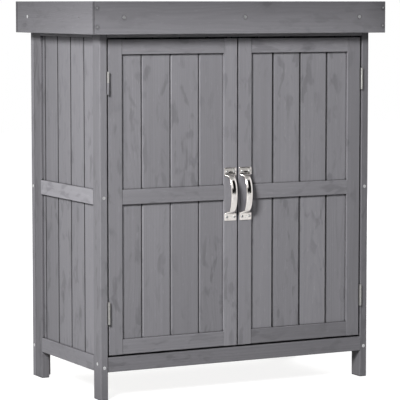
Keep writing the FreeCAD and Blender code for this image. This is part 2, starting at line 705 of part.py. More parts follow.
# Lid hinges: one leaf on the back's top rail, the other cranked over to the skirt's inner face.
ALONG_X = FreeCAD.Rotation(Y_AXIS, Z_AXIS, X_AXIS, "ZXY")
LID_PIN_Y = "body_back + lid_pin_back"
LID_PIN_Z = f"{SKIRT_LOW} - lid_pin_drop"
SKIRT_REACH = "(lid_depth / 2 - skirt_thick - body_back - lid_pin_back)"
on_back = box_corners("-lid_pin_back", "lid_leaf_thick - lid_pin_back", "0", "lid_leaf_height")
on_skirt = [
    ("0", "lid_pin_drop"),
    (SKIRT_REACH, "lid_pin_drop"),
    (SKIRT_REACH, "lid_leaf_height"),
    (f"{SKIRT_REACH} - lid_leaf_thick", "lid_leaf_height"),
    (f"{SKIRT_REACH} - lid_leaf_thick", "lid_pin_drop + lid_leaf_thick"),
    ("0", "lid_pin_drop + lid_leaf_thick"),
]
back_leaves = []
lid_leaves = []
lid_pins = []
for sign in ("-1", "1"):
    spot = (f"{sign} * lid_hinge_x - lid_hinge_length / 2", LID_PIN_Y, LID_PIN_Z)
    for plate, fixed, leaves in ((on_back, True, back_leaves), (on_skirt, False, lid_leaves)):
        leaves.append(make_leaf("lid_leaf", plate, "lid_barrel", "lid_pin", "lid_hinge_length",
                                knuckle_slots("lid_hinge_length", fixed), spot, ALONG_X))
    lid_pins.append(make_pin("lid_pin", "lid_pin", "lid_hinge_length", spot, ALONG_X))
keep("back_hinge_leaves", compound("back_hinge_leaves", back_leaves))
keep("lid_hinge_leaves", compound("lid_hinge_leaves", lid_leaves))
keep("lid_hinge_pins", compound("lid_hinge_pins", lid_pins))


def make_handle(label, sign):
    """A bow handle: a crowned strap bent round the X axis, on two flat feet."""
    body = doc.addObject("PartDesign::Body", label)
    edge = "bow_radius - bow_thick / 2"
    rim = "bow_radius + bow_thick / 2"
    half = "bow_width / 2"
    sketch = new_sketch(body, "XY_Plane")
    side = sheet.bow_width / 2
    near = sheet.bow_thick / 2 - sheet.bow_radius
    far = -sheet.bow_thick / 2 - sheet.bow_radius
    points = [FreeCAD.Vector(-side, near, 0), FreeCAD.Vector(side, near, 0),
              FreeCAD.Vector(side, far, 0), FreeCAD.Vector(-side, far, 0)]
    crown = Part.Arc(points[3], FreeCAD.Vector(0, far - sheet.bow_crown, 0), points[2])
    sketch.addGeometry([Part.LineSegment(points[0], points[1]), Part.LineSegment(points[1], points[2]),
                        Part.LineSegment(points[3], points[0]), crown], False)
    for first, first_end, second, second_end in ((0, 2, 1, 1), (2, 2, 0, 1), (3, 1, 2, 1), (3, 2, 1, 2)):
        sketch.addConstraint(Sketcher.Constraint("Coincident", first, first_end, second, second_end))
    pin_down(sketch, 0, 1, f"-{half}", f"-({edge})")
    pin_down(sketch, 0, 2, half, f"-({edge})")
    pin_down(sketch, 1, 2, half, f"-({rim})")
    pin_down(sketch, 2, 1, f"-{half}", f"-({rim})")
    crown_radius = (side ** 2 + sheet.bow_crown ** 2) / (2 * sheet.bow_crown)
    radius = sketch.addConstraint(Sketcher.Constraint("Radius", 3, crown_radius))
    sketch.setExpression(f"Constraints[{radius}]",
                         bound("bow_width * bow_width / (8 * bow_crown) + bow_crown / 2"))
    strap = body.newObject("PartDesign::Revolution", "Strap")
    strap.Profile = sketch
    strap.ReferenceAxis = (sketch, ["H_Axis"])
    strap.Midplane = True
    strap.setExpression("Angle", bound(f"2 * acos((bow_radius - handle_rise) / ({edge}))"))
    feet = new_sketch(body, "XZ_Plane", "bow_radius - handle_rise")
    for low, high in (("foot_inner", "foot_outer"), ("-foot_outer", "-foot_inner")):
        draw_loop(feet, box_corners("-foot_width / 2", "foot_width / 2", low, high))
    pad(body, feet, "foot_thick")
    place(body, (f"{sign} * handle_x", f"{DOOR_FACE} + bow_radius - handle_rise", "handle_height"))
    round_edges(body, "y", [("x-",), ("x+",)], "foot_round")
    return keep(label, body)


def make_catch(sign):
    """A magnetic catch hung under the front top rail: a cased magnet between two pole plates."""
    x = f"{sign} * catch_x"
    y = "-catch_back - catch_depth"
    low = f"{TOP_RAIL_LOW} - catch_height"
    ear = f"{TOP_RAIL_LOW} - catch_ear"
    half = "catch_width / 2"
    body_half = "catch_body / 2"
    height = "catch_height"
    shoulder = "catch_height - catch_ear"
    corners = [(f"-{body_half}", "0"), (body_half, "0"), (body_half, shoulder), (half, shoulder),
               (half, height), (f"-{half}", height), (f"-{half}", shoulder), (f"-{body_half}", shoulder)]
    case = prism("catch_case", "XZ_Plane", corners, "catch_depth", (x, y, low))
    stack = "(magnet_thick + 2 * pole_thick)"
    slot = new_sketch(case, "XZ_Plane")
    bottom = f"(catch_height - {stack}) / 2"
    draw_loop(slot, box_corners("-pole_width / 2", "pole_width / 2", bottom, f"{bottom} + {stack}"))
    pocket(case, slot, "pole_depth - pole_proud", along_normal=False)
    front = f"{y} - pole_proud"
    plates = []
    for height_in in ("0", "pole_thick + magnet_thick"):
        plates.append(prism("pole_plate", "XZ_Plane",
                            box_corners("-pole_width / 2", "pole_width / 2", "0", "pole_thick"),
                            "pole_depth", (x, front, f"{low} + {bottom} + {height_in}")))
    magnet = prism("magnet", "XZ_Plane",
                   box_corners("-pole_width / 2", "pole_width / 2", "0", "magnet_thick"),
                   "pole_depth - 2 * pole_proud",
                   (x, f"{front} + 2 * pole_proud", f"{low} + {bottom} + pole_thick"))
    return case, plates + [magnet], ear


catch_cases = []
catch_magnets = []
for side, sign in (("left", "-1"), ("right", "1")):
    make_handle(f"{side}_door_handle", sign)
    case, inside, ear_low = make_catch(sign)
    catch_cases.append(case)
    catch_magnets += inside
    keep(f"{side}_door_strike_plate", prism(
        f"{side}_door_strike_plate", "XZ_Plane",
        box_corners("-strike_width / 2", "strike_width / 2", "0", "strike_height"), "strike_thick",
        (f"{sign} * catch_x", f"{DOOR_FACE} + frame_thick", "strike_low")))
keep("magnetic_catches", compound("magnetic_catches", catch_cases))
keep("catch_magnets", compound("catch_magnets", catch_magnets))


# Fasteners. Every one passes through the pieces that are named after its direction.
BACKWARD = Y_AXIS
FORWARD = -Y_AXIS
RIGHTWARD = X_AXIS
LEFTWARD = -X_AXIS
UPWARD = Z_AXIS
RAIL_SCREWS = (("bottom", "screw_low"), ("mid", "screw_mid"), ("top", "screw_top"))

SIDES = (("left", "-1", RIGHTWARD, LEFTWARD), ("right", "1", LEFTWARD, RIGHTWARD))

for side, sign, inward, outward in SIDES:
    middle_x = f"{sign} * (body_width - frame_thick) / 2"
    outer_x = f"{sign} * body_width / 2"
    for rail, height in RAIL_SCREWS:
        fasten("frame_screws", "frame_screw", (middle_x, "-body_front", height), BACKWARD,
               f"front_{side}_post", f"{side}_side_{rail}_rail")
        fasten("frame_screws", "frame_screw", (middle_x, "body_back - frame_thick", height), FORWARD,
               f"rear_{side}_post", f"{side}_side_{rail}_rail")
        fasten("frame_screws", "frame_screw", (outer_x, "body_back - frame_thick / 2", height), inward,
               f"back_{side}_stile", f"back_{rail}_rail")
    for rail, height in (("bottom", "screw_bottom_side"), ("top", "screw_top")):
        fasten("frame_screws", "frame_screw", (outer_x, "-body_front + post_width / 2", height), inward,
               f"front_{side}_post", f"front_{rail}_rail")
    for height in ("back_screw_low", "back_screw_high"):
        fasten("frame_screws", "skirt_screw", (middle_x, "body_back", height), FORWARD,
               f"back_{side}_stile", f"rear_{side}_post")

    # Shelf battens to the side panels' middle rails.
    batten_face = f"{sign} * (body_width / 2 - frame_thick - batten_width)"
    for y in ("-body_front / 2", "body_back / 2"):
        fasten("frame_screws", "batten_screw", (batten_face, y, "shelf_low - batten_width / 3"), outward,
               "inner_battens", f"{side}_side_mid_rail")

    # Skirt boards to the flat battens behind them.
    for y in ("-screw_side_front", "screw_side_back"):
        fasten("lid_screws", "skirt_screw", (f"{sign} * lid_width / 2", y, "screw_skirt"), inward,
               f"lid_{side}_board", "lid_battens")
    for y, direction, board in (("-lid_depth / 2", BACKWARD, "lid_front_board"),
                                ("lid_depth / 2", FORWARD, "lid_rear_board")):
        fasten("lid_screws", "skirt_screw", (f"{sign} * screw_front_x", y, "screw_skirt"), direction,
               board, "lid_battens")
        for height in ("nail_low", "nail_high"):
            fasten("lid_screws", "corner_nail", (f"{sign} * (lid_width - skirt_thick) / 2", y, height),
                   direction, board, f"lid_{side}_board")

    # Door hinges: three screws in each leaf.
    pin_x = f"{sign} * (body_width / 2 - frame_thick - door_gap / 2)"
    post_side = f"{pin_x} + {sign} * (door_gap / 2 - door_leaf_thick)"
    door_side = f"{pin_x} - {sign} * (door_gap / 2 - door_leaf_thick)"
    screw_y = f"{DOOR_PIN_Y} + (door_barrel + door_leaf_width) / 2"
    for low in DOOR_HINGES:
        for part in (1, 3, 5):
            spot_z = f"{low} + {part} * door_hinge_length / 6"
            fasten("fitting_screws", "leaf_screw", (post_side, screw_y, spot_z), outward,
                   "post_hinge_leaves", f"front_{side}_post")
            fasten(f"{side}_door_screws", "leaf_screw", (door_side, screw_y, spot_z), inward,
                   f"{side}_door_hinge_leaves", f"{side}_door_hinge_stile")

    # Handle, strike plate and catch.
    for across in ("-foot_screw_x", "foot_screw_x"):
        for up in ("-foot_screw_z", "foot_screw_z"):
            fasten(f"{side}_door_screws", "handle_screw",
                   (f"{sign} * handle_x + {across}", f"{DOOR_FACE} - foot_thick", f"handle_height + {up}"),
                   BACKWARD, f"{side}_door_handle", f"{side}_door_lock_stile",
                   f"{side}_door_boards")
    strike_back = f"{DOOR_FACE} + frame_thick + strike_thick"
    fasten(f"{side}_door_screws", "strike_screw",
           (f"{sign} * catch_x", strike_back, "strike_low + strike_height / 2"), FORWARD,
           f"{side}_door_strike_plate", f"{side}_door_top_rail")
    for across in ("-1", "1"):
        ear_x = f"{sign} * catch_x + {across} * (catch_width + catch_body) / 4"
        fasten("fitting_screws", "catch_screw", (ear_x, "-catch_back - catch_depth / 2", ear_low), UPWARD,
               "magnetic_catches", "front_top_rail")

    # Lid hinges: three screws in each leaf.
    for part in (1, 3, 5):
        spot_x = f"{sign} * lid_hinge_x - lid_hinge_length / 2 + {part} * lid_hinge_length / 6"
        spot_z = f"{LID_PIN_Z} + (lid_barrel + lid_leaf_height) / 2"
        fasten("fitting_screws", "lid_leaf_screw", (spot_x, "body_back + lid_leaf_thick", spot_z), FORWARD,
               "back_hinge_leaves", "back_top_rail")
        fasten("lid_screws", "lid_leaf_screw",
               (spot_x, f"{LID_PIN_Y} + {SKIRT_REACH} - lid_leaf_thick", spot_z), BACKWARD,
               "lid_hinge_leaves", "lid_rear_board")

for y, direction, board in (("-lid_depth / 2", BACKWARD, "lid_front_board"),
                            ("lid_depth / 2", FORWARD, "lid_rear_board")):
    fasten("lid_screws", "skirt_screw", ("0", y, "screw_skirt"), direction, board, "lid_battens")

# Floor battens to the bottom rails.
for x in ("-body_width / 4", "body_width / 4"):
    height = f"{FLOOR_LOW} - batten_width / 2"
    fasten("frame_screws", "batten_screw", (x, f"{FLOOR_FRONT} + batten_width", height), FORWARD,
           "inner_battens", "front_bottom_rail")
    fasten("frame_screws", "batten_screw", (x, f"{INNER_BACK} - batten_width", height), BACKWARD,
           "inner_battens", "back_bottom_rail")

drill_holes()
for label, copies in groups.items():
    keep(label, compound(label, copies))

doc.recompute()

for item in doc.Objects:
    if "Invalid" in item.State or "Error" in item.State:
        raise RuntimeError(f"{item.Label} did not recompute: {item.State}")
for label, piece in subparts.items():
    if piece.Shape.isNull() or not piece.Shape.isValid() or not piece.Shape.Solids:
        raise RuntimeError(f"{label} has no valid solid")

os.makedirs("parts", exist_ok=True)
for label, piece in sorted(subparts.items()):
    piece.Shape.exportStep(f"parts/{label}.step")
    box = piece.Shape.BoundBox
    print(f"{label}: {len(piece.Shape.Solids)} solids, {piece.Shape.Volume / 1000:.1f} cm3,",
          f"x {box.XMin:.1f}..{box.XMax:.1f}, y {box.YMin:.1f}..{box.YMax:.1f},",
          f"z {box.ZMin:.1f}..{box.ZMax:.1f}")
print(len(subparts), "sub-parts")
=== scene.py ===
import math

import bmesh
import bpy
from mathutils import Matrix, Vector, noise


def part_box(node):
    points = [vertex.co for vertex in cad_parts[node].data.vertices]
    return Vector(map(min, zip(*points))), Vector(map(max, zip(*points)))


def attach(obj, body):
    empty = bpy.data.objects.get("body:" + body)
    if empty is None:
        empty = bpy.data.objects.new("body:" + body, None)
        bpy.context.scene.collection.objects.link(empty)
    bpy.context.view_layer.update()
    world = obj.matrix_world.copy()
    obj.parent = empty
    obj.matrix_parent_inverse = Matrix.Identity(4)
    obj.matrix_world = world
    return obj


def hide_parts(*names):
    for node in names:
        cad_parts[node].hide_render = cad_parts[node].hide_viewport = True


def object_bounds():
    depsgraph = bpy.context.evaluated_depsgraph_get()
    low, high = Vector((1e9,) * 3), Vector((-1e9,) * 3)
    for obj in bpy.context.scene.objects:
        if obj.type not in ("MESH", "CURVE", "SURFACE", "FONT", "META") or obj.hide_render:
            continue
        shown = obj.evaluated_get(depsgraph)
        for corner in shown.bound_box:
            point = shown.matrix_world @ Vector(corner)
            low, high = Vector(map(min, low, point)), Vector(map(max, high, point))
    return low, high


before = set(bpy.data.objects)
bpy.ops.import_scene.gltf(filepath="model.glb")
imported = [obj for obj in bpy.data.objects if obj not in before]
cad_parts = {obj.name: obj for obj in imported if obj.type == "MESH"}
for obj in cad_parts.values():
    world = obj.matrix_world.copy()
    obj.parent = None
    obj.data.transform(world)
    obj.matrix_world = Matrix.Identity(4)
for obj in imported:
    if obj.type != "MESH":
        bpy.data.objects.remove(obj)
cad_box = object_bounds()

LETTERS = "XYZ"
WHITE = (1.0, 1.0, 1.0, 1.0)

# Colour sockets of the Mix node, by number because its other kinds use the same names.
MIX_FIRST = 6
MIX_SECOND = 7
MIX_RESULT = 2


def scaled(colour, factor):
    """The colour at another brightness, opaque."""
    return tuple(channel * factor for channel in colour[:3]) + (1.0,)


# Shader graphs


class Graph:
    """A node tree written as expressions."""

    def __init__(self, tree, output_kind):
        self.tree = tree
        self.tree.nodes.clear()
        self.output = self.tree.nodes.new("ShaderNodeOutput" + output_kind)

    def set(self, socket, value):
        if isinstance(value, bpy.types.NodeSocket):
            self.tree.links.new(value, socket)
        elif value is not None:
            socket.default_value = value

    def node(self, kind, inputs=None, **properties):
        made = self.tree.nodes.new("ShaderNode" + kind)
        for key, value in properties.items():
            setattr(made, key, value)
        for key, value in (inputs or {}).items():
            self.set(made.inputs[key], value)
        return made

    def math(self, operation, *values):
        made = self.node("Math", operation=operation)
        for socket, value in zip(made.inputs, values):
            self.set(socket, value)
        return made.outputs[0]

    def add(self, first, second):
        return self.math("ADD", first, second)

    def subtract(self, first, second):
        return self.math("SUBTRACT", first, second)

    def multiply(self, first, second):
        return self.math("MULTIPLY", first, second)

    def divide(self, first, second):
        return self.math("DIVIDE", first, second)

    def times_plus(self, first, factor, offset):
        return self.math("MULTIPLY_ADD", first, factor, offset)

    def length(self, first, second):
        squares = self.add(self.multiply(first, first), self.multiply(second, second))
        return self.math("SQRT", squares)

    def swing(self, value, amount, offset):
        """Adds a noise that runs from 0 to 1, taken about its middle."""
        return self.times_plus(self.subtract(value, 0.5), amount, offset)

    def ramp(self, value, low, high, out_low=0.0, out_high=1.0, curve="SMOOTHSTEP"):
        inputs = {"Value": value, "From Min": low, "From Max": high,
                  "To Min": out_low, "To Max": out_high}
        return self.node("MapRange", inputs, interpolation_type=curve).outputs["Result"]

    def mix(self, factor, first, second, blend="MIX"):
        made = self.node("Mix", data_type="RGBA", blend_type=blend)
        self.set(made.inputs["Factor"], factor)
        self.set(made.inputs[MIX_FIRST], first)
        self.set(made.inputs[MIX_SECOND], second)
        return made.outputs[MIX_RESULT]

    def shaded(self, colour, shade):
        return self.mix(1.0, colour, self.combine(shade, shade, shade), "MULTIPLY")

    def combine(self, x, y, z):
        return self.node("CombineXYZ", {"X": x, "Y": y, "Z": z}).outputs[0]

    def separate(self, vector):
        return self.node("SeparateXYZ", {"Vector": vector}).outputs

    def channels(self, colour):
        return self.node("SeparateColor", {"Color": colour}).outputs

    def noise(self, vector, scale=1.0, detail=2.0, roughness=0.5, distortion=0.0):
        inputs = {"Vector": vector, "Scale": scale, "Detail": detail, "Roughness": roughness,
                  "Distortion": distortion}
        return self.node("TexNoise", inputs).outputs["Fac"]

    def stretched_noise(self, axes, scales, detail=2.0, distortion=0.0):
        scaled_axes = [self.multiply(axis, scale) for axis, scale in zip(axes, scales)]
        return self.noise(self.combine(*scaled_axes), detail=detail, distortion=distortion)

    def cells(self, vector, scale):
        return self.node("TexVoronoi", {"Vector": vector, "Scale": scale}, feature="F1").outputs

    def bump(self, height, strength, distance):
        inputs = {"Strength": strength, "Distance": distance, "Height": height}
        return self.node("Bump", inputs).outputs[0]

    def finish(self, shader):
        self.tree.links.new(shader.outputs[0], self.output.inputs["Surface"])


def material_graph(name):
    material = bpy.data.materials.new(name)
    material.use_nodes = True
    return material, Graph(material.node_tree, "Material")


def piece_axes(graph):
    """Place in the piece's own axes, as a vector and by letter."""
    place = graph.node("TexCoord").outputs["Object"]
    return place, dict(zip(LETTERS, graph.separate(place)))


def facing(graph, letter):
    """How squarely the surface faces along one of the piece's own axes, the same at every pose."""
    normal = graph.node("NewGeometry").outputs["Normal"]
    turned = graph.node("VectorTransform", {"Vector": normal}, vector_type="NORMAL",
                        convert_from="WORLD", convert_to="OBJECT")
    return graph.math("ABSOLUTE", graph.separate(turned.outputs[0])[LETTERS.index(letter)])


# Wood

GREY = {"light": (0.292, 0.286, 0.306, 1.0), "dark": (0.236, 0.232, 0.251, 1.0)}

# Steps between the seeds of the nodes, of nodes with many boards, and of the fields of such a node.
NODE_STEP = 1.37
BOARD_STEP = 13.0
UPPER_STEP = 37.0
# How far chance moves the grain of a board along, across and through it, in metres.
GRAIN_SHIFTS = (7.0, 3.0, 2.0)

# Noises in the wood: waves per metre along, across and through the grain, octaves, distortion.
FIGURES = {
    "fibre": ((9.0, 620.0, 620.0), 3.0),
    "pore": ((45.0, 1500.0, 1500.0),),
    "streak": ((1.7, 120.0, 120.0),),
    "cloud": ((6.0, 22.0, 22.0), 3.0),
    "patch": ((3.1, 9.0, 9.0),),
    "blot": ((20.0, 50.0, 50.0), 2.0, 0.5),
    "fleck": ((60.0, 260.0, 260.0),),
    "cut": ((900.0, 900.0, 900.0),),
    "saw": ((700.0, 30.0, 1.0), 1.0),
    "drift": ((1.6, 4.0, 1.0),),
    "sway": ((7.0, 14.0, 1.0),),
}
# Values between which a noise, or the way that a surface faces, counts as its feature.
PATCH_EDGE = (0.34, 0.60)
BLOT_EDGE = (0.52, 0.66)
FLECK_EDGE = (0.62, 0.74)
END_GRAIN_EDGE = (0.72, 0.92)
RUB_EDGE = (0.42, 0.62)

# Knots lie one to a cell, in some of the cells. Lengths are in metres.
KNOT_CELL = (0.24, 0.062)
KNOT_SCATTER = 0.85
KNOT_RARITY = 0.72
KNOT_STRETCH = 2.1
KNOT_RADIUS = 0.0028
KNOT_SPREAD = 0.0035
KNOT_WAVES = 55.0
KNOT_WOBBLE = 0.010
KNOT_EDGE = 1.9
KNOT_FIELD = 5.0

# Year rings: their width, how far the pith lies beside and behind the board, and how they wander.
RING_WIDTH = 0.0034
PITH_BESIDE = 0.10
PITH_NEAR = 0.016
PITH_SPREAD = 0.05
PITH_DRIFT = 0.05
RING_DRIFT = 0.030
RING_SWAY = 0.005
RING_PULL = -0.006
LATE_RISE = (0.30, 0.88)
LATE_FALL = (1.0, 0.92)
# The rings fade in some boards and in pale clouds.
CLEAR_BOARD = (0.7, 0.3)
CLEAR_CLOUD = (0.30, 0.65, 0.35, 1.0)

# What each feature adds to the shade, or takes from it.
SHADES = {
    "late": -0.03, "fibre": 0.06, "pore": 0.06, "streak": 0.17, "cloud": 0.15, "board": 0.10,
    "blot": -0.20, "fleck": 0.10, "field": -0.06, "heart": -0.15, "end": -0.40,
}
SHADE_BASE = 1.02
LATE_TINT = 0.28
GLOSSES = {"late": -0.07, "cloud": 0.20, "end": 0.2}
ROUGH_WOOD = 0.64
RELIEFS = {"fibre": 0.55, "late": 0.5, "pore": 0.35, "heart": 0.9, "cut": 1.2}
RELIEF_STRENGTH = 0.55
RELIEF_DEPTH = 0.00035
WOOD_SPECULAR = 0.12

# Painted shade in corners, recesses and the bevels between boards, darker rings round screw heads,
# and wear on edges.
CORNER_REACH = 0.006
CORNER_SAMPLES = 8
CORNER_SHADE = (0.35, 0.85, 0.22, 1.0)
BEVEL_DEEP = 0.0007
BEVEL_SHALLOW = 0.0001
HALO_INNER = 0.0030
HALO_OUTER = 0.0085
HALO_SHADE = 0.72
HALO_WAVES = 190.0
HALO_WOBBLE = 0.006
EDGE_RADIUS = 0.0022
EDGE_SAMPLES = 4
EDGE_BEND = (0.995, 0.90)
RUB_WAVES = 130.0
WEAR = 0.12
WEAR_TINT = 1.45
ROUND_DETAIL = 3.0


class Timber:
    """The axes and chance numbers of the board that a point lies in."""

    def __init__(self, graph, node, along, through, seed, boards):
        self.graph = graph
        self.place, self.axis = piece_axes(graph)
        across = next(letter for letter in LETTERS if letter not in (along, through))
        low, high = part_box(node)
        centre = (low + high) / 2
        self.half_thick = ((high - low) / 2)[LETTERS.index(through)]
        self.beside = graph.subtract(self.axis[across], centre[LETTERS.index(across)])
        self.deep = graph.subtract(self.axis[through], centre[LETTERS.index(through)])
        number = seed * NODE_STEP
        if boards:
            letter, seam, pitch, split = boards
            count = graph.divide(graph.subtract(self.axis[letter], seam), pitch)
            self.beside = graph.multiply(graph.subtract(graph.math("FRACT", count), 0.5), pitch)
            number = graph.add(graph.math("FLOOR", count), seed * BOARD_STEP)
            if split is not None:
                upper = graph.math("GREATER_THAN", self.axis["Z"], split)
                number = graph.times_plus(upper, UPPER_STEP, number)
        pick = graph.node("TexWhiteNoise", {"W": number}, noise_dimensions="1D")
        self.chance = graph.channels(pick.outputs["Color"])
        self.grain = [graph.times_plus(chance, shift, self.axis[letter]) for chance, shift, letter
                      in zip(self.chance, GRAIN_SHIFTS, (along, across, through))]

    def figure(self, name):
        return self.graph.stretched_noise(self.grain, *FIGURES[name])


def knots(graph, timber):
    """The dark heart of each knot and the wider field that bends the grain round it."""
    along, across = timber.grain[:2]
    length, width = KNOT_CELL
    cells = graph.combine(graph.divide(along, length), graph.divide(across, width), 0.0)
    cell = graph.node("TexVoronoi", {"Vector": cells, "Scale": 1.0, "Randomness": KNOT_SCATTER},
                      voronoi_dimensions="2D", feature="F1")
    centre = graph.separate(cell.outputs["Position"])
    chance = graph.channels(cell.outputs["Color"])
    ahead = graph.subtract(along, graph.multiply(centre[0], length))
    aside = graph.subtract(across, graph.multiply(centre[1], width))
    wobble = graph.noise(graph.combine(along, across, 0.0), KNOT_WAVES, ROUND_DETAIL)
    distance = graph.length(graph.divide(ahead, KNOT_STRETCH), aside)
    reach = graph.swing(wobble, KNOT_WOBBLE, distance)
    present = graph.math("GREATER_THAN", chance[0], KNOT_RARITY)
    size = graph.times_plus(chance[1], KNOT_SPREAD, KNOT_RADIUS)
    return [graph.multiply(present, graph.ramp(reach, graph.multiply(size, edge), size))
            for edge in (KNOT_EDGE, KNOT_FIELD)]


def late_wood(graph, timber, knot_field):
    """Dark edges of the year rings round a pith behind the board, which wanders along it."""
    drift = timber.figure("drift")
    sway = timber.figure("sway")
    beside = graph.swing(timber.chance[1], PITH_BESIDE, timber.beside)
    beside = graph.swing(drift, PITH_DRIFT, beside)
    behind = graph.times_plus(timber.chance[2], PITH_SPREAD, PITH_NEAR)
    radius = graph.length(beside, graph.add(graph.math("ABSOLUTE", timber.deep), behind))
    radius = graph.swing(drift, RING_DRIFT, radius)
    radius = graph.swing(sway, RING_SWAY, radius)
    radius = graph.times_plus(knot_field, RING_PULL, radius)
    ring = graph.math("FRACT", graph.divide(radius, RING_WIDTH))
    return graph.multiply(graph.ramp(ring, *LATE_RISE), graph.ramp(ring, *LATE_FALL))


def halo_shade(graph, timber, letters, places):
    """Share of light kept near each of the places, with an uneven outline."""
    wobble = graph.noise(timber.place, HALO_WAVES, ROUND_DETAIL)
    shade = 1.0
    for place in places:
        offsets = [graph.subtract(timber.axis[letter], at) for letter, at in zip(letters, place)]
        reach = graph.swing(wobble, HALO_WOBBLE, graph.length(*offsets))
        shade = graph.multiply(graph.ramp(reach, HALO_INNER, HALO_OUTER, HALO_SHADE, 1.0), shade)
    return shade


def edge_wear(graph, timber):
    """Where edges are rubbed, in patches."""
    eased = graph.node("Bevel", {"Radius": EDGE_RADIUS}, samples=EDGE_SAMPLES)
    normal = graph.node("NewGeometry").outputs["Normal"]
    bend = graph.node("VectorMath", {0: eased.outputs[0], 1: normal},
                      operation="DOT_PRODUCT").outputs["Value"]
    rub = graph.ramp(graph.noise(timber.place, RUB_WAVES, ROUND_DETAIL), *RUB_EDGE)
    return graph.multiply(graph.ramp(bend, *EDGE_BEND), rub)


def wood(node, along, through, seed, light, dark, tone=1.0, boards=None, groove=1.0, fades=(),
         sawn=0.0, rings=1.0, blots=1.0, halos=None):
    """Fir under a thin glaze, or raw.

    along is the axis that the grain follows and through the axis of the board's thickness. boards
    is (axis, a seam, pitch, height of the middle rail or None) where one node holds many boards.
    groove is the share of light kept in the bevels between boards: painted shade, where the
    grooves fall dark. Each of fades is (axis, low, high, factor at low, factor at high), a board
    darker or lighter along the axis, in places painted light and shade. halos is (two axes, places
    along them) for the darker rings round screws and nails. sawn, rings and blots scale the saw
    marks, the year rings and the smudges.
    """
    material, graph = material_graph(node + "_wood")
    timber = Timber(graph, node, along, through, seed, boards)
    heart, knot_field = knots(graph, timber)
    fibre = timber.figure("fibre")
    pore = timber.figure("pore")
    cloud = timber.figure("cloud")
    patch = graph.ramp(timber.figure("patch"), *PATCH_EDGE)
    blot = graph.multiply(graph.ramp(timber.figure("blot"), *BLOT_EDGE), patch)
    fleck = graph.ramp(timber.figure("fleck"), *FLECK_EDGE)
    end_grain = graph.ramp(facing(graph, along), *END_GRAIN_EDGE)
    clear = graph.multiply(graph.times_plus(timber.chance[0], *CLEAR_BOARD),
                           graph.ramp(cloud, *CLEAR_CLOUD))
    late = graph.multiply(late_wood(graph, timber, knot_field), clear)

    swings = {"fibre": fibre, "pore": pore, "streak": timber.figure("streak"), "cloud": cloud,
              "board": timber.chance[2]}
    shade = graph.times_plus(late, SHADES["late"] * rings, SHADE_BASE)
    for name, value in swings.items():
        shade = graph.swing(value, SHADES[name], shade)
    shade = graph.times_plus(blot, SHADES["blot"] * blots, shade)
    shade = graph.times_plus(fleck, SHADES["fleck"], shade)
    for name, value in {"field": knot_field, "heart": heart, "end": end_grain}.items():
        shade = graph.multiply(shade, graph.times_plus(value, SHADES[name], 1.0))
    shade = graph.multiply(shade, tone)

    # Painted shade: the wood darkens where ambient occlusion finds other surfaces close by, in
    # corners and recesses.
    corner = graph.node("AmbientOcclusion", {"Distance": CORNER_REACH},
                        samples=CORNER_SAMPLES)
    shade = graph.multiply(shade, graph.ramp(corner.outputs["AO"], *CORNER_SHADE))
    # Painted shade in the bevels between boards, where the grooves fall dark.
    if groove < 1.0:
        level = graph.math("ABSOLUTE", timber.deep)
        bevel = graph.ramp(level, timber.half_thick - BEVEL_DEEP,
                           timber.half_thick - BEVEL_SHALLOW, groove, 1.0)
        shade = graph.multiply(shade, bevel)
    if halos:
        shade = graph.multiply(shade, halo_shade(graph, timber, *halos))
    for letter, *fade in fades:
        shade = graph.multiply(shade, graph.ramp(timber.axis[letter], *fade, "LINEAR"))

    glaze = graph.mix(graph.times_plus(late, LATE_TINT, LATE_TINT), light, dark)
    wear = graph.multiply(edge_wear(graph, timber), WEAR)
    colour = graph.mix(wear, graph.shaded(glaze, shade), scaled(light, WEAR_TINT))

    gloss = graph.times_plus(late, GLOSSES["late"], ROUGH_WOOD)
    gloss = graph.swing(cloud, GLOSSES["cloud"], gloss)
    gloss = graph.times_plus(end_grain, GLOSSES["end"], gloss)

    reliefs = {"late": late, "pore": pore, "heart": heart,
               "cut": graph.multiply(timber.figure("cut"), end_grain)}
    relief = graph.multiply(fibre, RELIEFS["fibre"])
    for name, value in reliefs.items():
        relief = graph.times_plus(value, RELIEFS[name], relief)
    if sawn:
        relief = graph.times_plus(timber.figure("saw"), sawn, relief)

    graph.finish(graph.node("BsdfPrincipled", {
        "Base Color": colour,
        "Roughness": gloss,
        "Normal": graph.bump(relief, RELIEF_STRENGTH, RELIEF_DEPTH),
        "Specular IOR Level": WOOD_SPECULAR,
    }))
    return material


# Metal, plastic and felt

# Marks in metal: noises as (waves per metre, octaves, roughness), and hairlines by axis.
DULL_PATCHES = (90.0, 4.0, 0.6)
DULL_EDGE = (0.42, 0.72)
SPECKS = (900.0, 3.0, 0.6)
HAIRS = (2600.0, 2600.0, 240.0)
SPANGLES = 420.0
DULL_SHADE = -0.35
DULL_ROUGHNESS = 0.30
SPECK_ROUGHNESS = 0.10
SPECK_RELIEF = 0.4
METAL_BUMP = (0.25, 0.00004)
GLAZE_ON_METAL = scaled(GREY["light"], 0.70)

PLASTIC_GRAIN = 2400.0
PLASTIC_CLOUD = (60.0, 3.0)
PLASTIC_SHADE = 0.5
PLASTIC_ROUGHNESS = 0.5
PLASTIC_ROUGH_SWING = 0.2
PLASTIC_BUMP = (0.3, 0.0001)

SLATE_CHIPS = 720.0
SLATE_DARK = (0.045, 0.047, 0.052, 1.0)
SLATE_PALE = (0.17, 0.172, 0.18, 1.0)
FELT_DUST = (0.075, 0.074, 0.072, 1.0)
DUST_PATCHES = (14.0, 4.0, 0.6)
DUST_EDGE = (0.3, 0.75)
BITUMEN = (0.012, 0.012, 0.013, 1.0)
BALD_SPOTS = (220.0, 3.0)
BALD_FINE = 0.35
BALD_DEPTH = -0.6
BALD_ROUGHNESS = -0.35
FELT_ROUGHNESS = 0.88
BALD_EDGE = (0.74, 0.86)
FELT_GRAIN = 1600.0
FELT_BUMP = (0.8, 0.0006)


